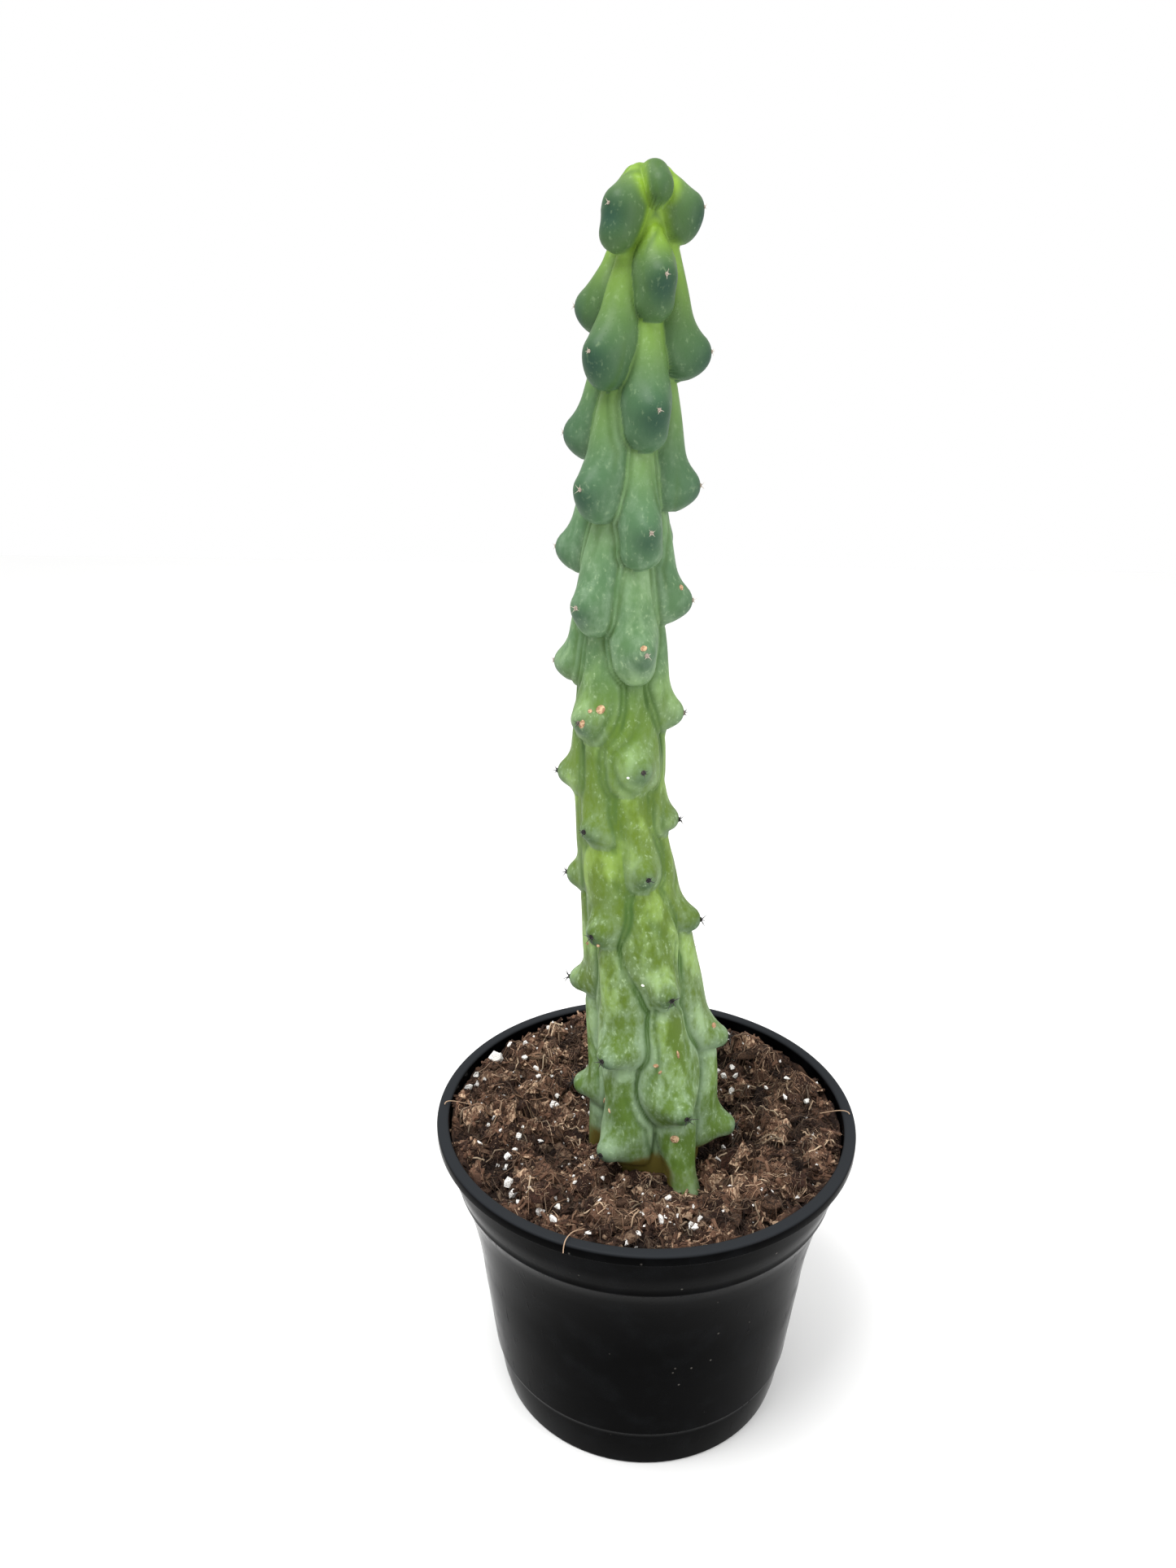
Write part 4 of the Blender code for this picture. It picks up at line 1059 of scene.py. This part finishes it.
# What the colours follow: how near a crease is, how far up its drop a point lies, how near the drop's dark
# end, where pale dust lies round an areole, and where the foot has turned to cork or is powdered pale,
# partly a painted highlight
heights = skin_points[..., 2]
areoles = np.array([drop["areole"] for drop in drops] + [(0, 0, -1000)])
necks = np.array([drop["high"] for drop in drops] + [0])
number = np.where(owner < 0, len(drops), owner)
climb = (heights - areoles[number][..., 2]) / np.maximum(necks[number] - areoles[number][..., 2], 1)
neck = np.where(number == len(drops), CORE_NECK, np.clip(climb, 0, 1))
on_crown = np.array([drop["top"] for drop in drops] + [False])[number] | (owner < 0)
hollow = np.exp(-(apart / HOLLOW_WIDTH) ** 2)
youngest = np.array([drop["youngest"] for drop in drops] + [True])[number]
neck[on_crown] = (0.5 * neck * ~youngest + 0.7 * hollow ** 2)[on_crown]
neck[number == 0] = np.maximum(neck[number == 0], PRONG_NECK)
from_end = np.linalg.norm(skin_points - areoles[number] + np.array([0, 0, DARK_END_SINK]), axis=-1)
dark_end = np.exp(-(from_end / along(DARK_END_SIZE, heights)) ** 2)
dark_end[youngest] = (0.5 * (1 - hollow))[youngest]
cork = ease(CORK_HEIGHT - heights, 0, CORK_FADE) * (0.3 + 0.7 * ease(CORK_REACH - reach, 0, CORK_FADE / 2))
around_foot = np.angle(np.exp(1j * (np.broadcast_to(azimuths, heights.shape) - POWDER_AND_HIGHLIGHT_SIDE)))
looks = {
    "neck": neck, "dark_end": dark_end, "crease": crease, "hollow": hollow, "groove": groove, "cork": cork,
    "powder_and_highlight": np.exp(-(around_foot / POWDER_AND_HIGHLIGHT_WIDTH) ** 2 - (heights / POWDER_AND_HIGHLIGHT_HEIGHT) ** 2),
    "dusted": np.exp(-(from_end / DUSTED_SIZE) ** 2)}

stem_skin = Skin("waxy_green_skin", Specular_IOR_Level=0.15)


def up_stem(skin, low, high):
    """Smooth step from 0 to 1 between two heights over the soil."""
    return skin.rise(SOIL_LEVEL + low, SOIL_LEVEL + high)


def graded(stops):
    """Green that changes up the stem, from pairs of a height over the soil and a colour."""
    colour = stops[0][1]
    for (low, _), (high, next_colour) in zip(stops, stops[1:]):
        colour = stem_skin.mix(up_stem(stem_skin, low, high), colour, next_colour)
    return colour


foot_share, age, waxing = (1 - up_stem(stem_skin, *fade) for fade in (FOOT_FADE, AGE_FADE, WAX_FADE))
neck_share, dark_share, crease_share, hollow_share, groove_share, cork_share, powder_and_highlight_share, dusted_share = (
    stem_skin.reads(look) for look in looks)
dusted_share = dusted_share * age
cloudy = stem_skin.noise(9, 5, (1, 1, 1.5))
fine = stem_skin.noise(2.4, 5, (1, 1, 1.6), (5, 2, 0))
streaks = stem_skin.noise(3.2, 3, (1, 1, 6), (1, 8, 2))
speckle = stem_skin.noise(0.9, 3, (1, 1, 1.4), (0, 4, 6))
dots = 1 - stem_skin.cells(1.5).ease(0.08, 0.2)
patchy = 3.2 * cloudy + 0.8 * streaks + 0.6 * fine - 2.25 - 0.05 * foot_share
light_share = neck_share * (1 - 0.65 * age) + patchy * age
green = stem_skin.mix(light_share.ease(0.1, 0.95), graded(BODY_GREENS), graded(NECK_GREENS))
bloom = 0.3 * cloudy + 0.3 * fine + 0.25 * streaks + 0.15 * speckle + 0.08 * hollow_share
# The foot's pale patch on its left front is partly wax bloom and partly a painted highlight
bloom = bloom + (0.07 * hollow_share + 0.12 * powder_and_highlight_share) * foot_share + 0.08 * dusted_share
strength = 0.08 + 0.4 * waxing - 0.26 * age + 0.5 * foot_share + 0.35 * dusted_share * (1 - foot_share)
bloom = bloom.ease(0.46, 0.68) * strength
green = stem_skin.mix(bloom * 0.85, green, BLOOM_GREEN)
green = stem_skin.mix(dark_share * (0.95 - 0.3 * waxing), green, DARK_GREEN)
flecks = (0.55 * dots + speckle.ease(0.56, 0.7)) * fine.ease(0.42, 0.58)
green = stem_skin.mix(flecks * (0.14 + 0.26 * age), green, FLECK_GREEN)
# Creases and shrink lines are painted darker: partly their own darker green, partly painted shade
lines = (crease_share * 0.9 + groove_share * 0.65) * (0.35 + 0.65 * streaks.ease(0.35, 0.6))
green = stem_skin.mix(lines, green, LINE_GREEN_AND_SHADE)
green = stem_skin.mix((cork_share * (0.4 + 1.2 * fine)).ease(0.2, 0.8), green, CORK_BROWN)
stem_skin.paint(Base_Color=green, Roughness=0.42 + 0.2 * bloom + 0.1 * fine)
stem_skin.bump(fine * 0.5 + 0.35 * stem_skin.noise(0.7, 2) + 0.3 * dots, 0.12)

skin_points[..., 2] += SOIL_LEVEL
bottom = (*STEM_FOOT, SOIL_LEVEL + ROW_START - 1)
mesh = mesh_of("stem", bottom, skin_points[:-1], skin_points[-1].mean(axis=0),
               **{look: values[:-1] for look, values in looks.items()})
stem = link_up("stem", mesh, stem_skin.material)
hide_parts("cactus")
keep(stem)

# Areoles and spines: a small cushion of felt at the tip of each knob, with a star of short stiff spines.
# Near the stem's tip they are fine and beige, and on the older knobs black, longer and thicker.
SPINES = {"old": 5, "young": 4}
YOUNG_FROM = 140
SPINE_LENGTH = [(0, 3.1), (60, 2.8), (100, 1.6), (140, 1.4), (200, 1.3), (270, 0.9)]
SPINE_GIRTH = [(0, 0.2), (130, 0.17), (150, 0.11), (270, 0.09)]
SPINE_LIFT = math.radians(28)
# How far spines stray from an even star, in shares of a turn between two, in lift and in length
STAR_STRAY, LIFT_STRAY, LENGTH_STRAY = (-0.2, 0.2), (-0.25, 0.3), (0.7, 1.2)
FELT_SIZE = [(0, 0.75), (140, 0.7), (200, 0.55), (270, 0.4)]
# The felt's thickness and how far up in it the spines start, as shares of its size
FELT_THICKNESS, SPINE_FOOT = 0.55, 0.2
FELT_FADE = (120, 160)
# Areoles lower than this are buried
LOWEST_AREOLE = 4
SPINE_SEED = 8

stem_surface = surface_of(stem)


def facing(direction):
    """Euler angles that turn +Z to a direction."""
    return direction.to_track_quat("Z", "Y").to_euler()


draw = random.Random(SPINE_SEED)
felts = []
needles = {"old": [], "young": []}
for drop in drops:
    height = drop["height"]
    if height < LOWEST_AREOLE or drop["youngest"]:
        continue
    over = Vector(on_stem(drop["azimuth"], RAY_START, height)) * MM + Vector((0, 0, SOIL_LEVEL * MM))
    place, normal = stem_surface.ray_cast(over, -Vector(drop["out"]))[:2]
    felt = float(along(FELT_SIZE, height))
    felts.append((place, facing(normal), (felt, felt, FELT_THICKNESS * felt)))
    kind = "young" if height > YOUNG_FROM else "old"
    side = normal.orthogonal().normalized()
    first = draw.uniform(0, 2 * math.pi)
    for number in range(SPINES[kind]):
        turned = first + 2 * math.pi * (number + draw.uniform(*STAR_STRAY)) / SPINES[kind]
        lift = SPINE_LIFT + draw.uniform(*LIFT_STRAY)
        aim = math.cos(lift) * (Matrix.Rotation(turned, 3, normal) @ side) + math.sin(lift) * normal
        girth = float(along(SPINE_GIRTH, height))
        length = float(along(SPINE_LENGTH, height)) * draw.uniform(*LENGTH_STRAY)
        needles[kind].append((place + SPINE_FOOT * felt * MM * normal, facing(aim), (girth, girth, length)))
lump_tree = copies_tree("rounded_lumps", "GeometryNodeMeshIcoSphere", {"Radius": 1, "Subdivisions": 2})
needle_tree = copies_tree("tapered_needles", "GeometryNodeMeshCone", {
    "Vertices": 6, "Side Segments": 3, "Radius Top": 0.12, "Radius Bottom": 1, "Depth": 1})
needle_skins = {"old": Skin("old_spine", Base_Color=(0.012, 0.011, 0.012, 1), Roughness=0.45),
                "young": Skin("young_spine", Base_Color=(0.5, 0.43, 0.35, 1), Roughness=0.5)}
for kind, spots in needles.items():
    piece = set_down(f"{kind}_spines", needle_tree, spots, needle_skins[kind], roughness=0.15, size=1)
    keep(piece)
felt_skin = Skin("areole_felt", Roughness=0.95, Specular_IOR_Level=0.1)
young = up_stem(felt_skin, *FELT_FADE)
fluff = felt_skin.noise(0.3, 3).ease(0.35, 0.65)
felt = felt_skin.mix(young, (0.012, 0.012, 0.012), (0.3, 0.25, 0.2))
felt_skin.paint(Base_Color=felt_skin.mix(fluff * young * 0.5 + 0.1 * fluff, felt, (0.24, 0.2, 0.17)))
felt_skin.bump(fluff, 0.1)
keep(set_down("areole_felts", lump_tree, felts, felt_skin, roughness=0.2, size=0.4))

# Scabs: a few dry tan crusts where the skin was nicked, and two spots of lime that dried on it. They sit
# where they are seen, each a flat lump half sunk in the skin.
# Pixel, length and width in millimetres, and turn in degrees
SCABS_SEEN = [
    (738, 872, 2.6, 2.2, 40), (725, 874, 1.2, 1.1, 0), (715, 890, 2.6, 1.4, 70), (791, 797, 1.8, 1.4, 20),
    (837, 722, 1.6, 1.2, 80), (877, 1260, 2, 1.6, 10), (829, 1400, 2.6, 2.4, 0), (735, 1162, 1.4, 1, 90),
    (722, 1159, 1.2, 0.9, 60), (806, 1310, 1.6, 1.3, 0), (811, 1318, 1.5, 0.7, 50),
    (833, 1296, 2.8, 0.8, 100), (743, 1352, 2.6, 0.7, 75), (749, 1365, 1.6, 0.6, 120)]
LIME_SEEN = [(790, 1211, 1.1, 0.8, 0), (772, 956, 0.8, 0.6, 0)]
SCAB_THICKNESS = 0.45

scab_skin = Skin("dry_scab", Roughness=0.8, Specular_IOR_Level=0.2)
ringed = scab_skin.noise(0.8, 3).ease(0.4, 0.6)
scab_skin.paint(Base_Color=scab_skin.mix(ringed, (0.3, 0.17, 0.09), (0.56, 0.38, 0.23)))
scab_skin.bump(ringed, 0.15)
lime_skin = Skin("dried_lime", Base_Color=(0.75, 0.78, 0.7, 1), Roughness=0.7)
for name, seen, skin in (("tan_scabs", SCABS_SEEN, scab_skin), ("lime_spots", LIME_SEEN, lime_skin)):
    spots = []
    for *pixel, long, wide, turned in seen:
        place, normal = seen_on(stem_surface, pixel)
        flat = normal.to_track_quat("Z", "Y").to_matrix() @ Matrix.Rotation(math.radians(turned), 3, "Z")
        spots.append((place, flat.to_euler(), (long / 2, wide / 2, SCAB_THICKNESS)))
    keep(set_down(name, lump_tree, spots, skin, roughness=0.35, size=0.5))

# Floor and light: a plain pale floor under a soft light from above and the left, with a weaker upright one
# at the right. None of it belongs to the object.
FLOOR_SIZE = 3
FLOOR_COLOUR = (0.95, 0.95, 0.945)
# Power in watts, width and length in metres, and place
LIGHTS = {"ceiling": (7, 0.4, 0.4, (-0.2, -0.25, 0.95)), "window": (3, 0.2, 0.7, (0.75, -0.5, 0.35))}
LIGHT_AIM = Vector((0, 0, 0.17))
SKY = (1, 1, 1)
SKY_STRENGTH = 1

draft = bmesh.new()
bmesh.ops.create_grid(draft, x_segments=2, y_segments=2, size=FLOOR_SIZE / 2)
paper = Skin("pale_floor", Base_Color=(*FLOOR_COLOUR, 1), Roughness=0.7)
floor = link_up("floor", drawn("floor", draft), paper.material)
for name, (power, width, length, place) in LIGHTS.items():
    light = bpy.data.lights.new(name, "AREA")
    light.shape = "RECTANGLE"
    light.energy = power
    light.size = width
    light.size_y = length
    lamp = bpy.data.objects.new(name, light)
    lamp.location = place
    lamp.rotation_euler = (LIGHT_AIM - Vector(place)).to_track_quat("-Z", "Y").to_euler()
    bpy.context.scene.collection.objects.link(lamp)
sky = bpy.data.worlds.new("sky")
sky.use_nodes = True
sky.node_tree.nodes["Background"].inputs["Color"].default_value = (*SKY, 1)
sky.node_tree.nodes["Background"].inputs["Strength"].default_value = SKY_STRENGTH
bpy.context.scene.world = sky
bpy.context.scene.view_settings.view_transform = "Standard"
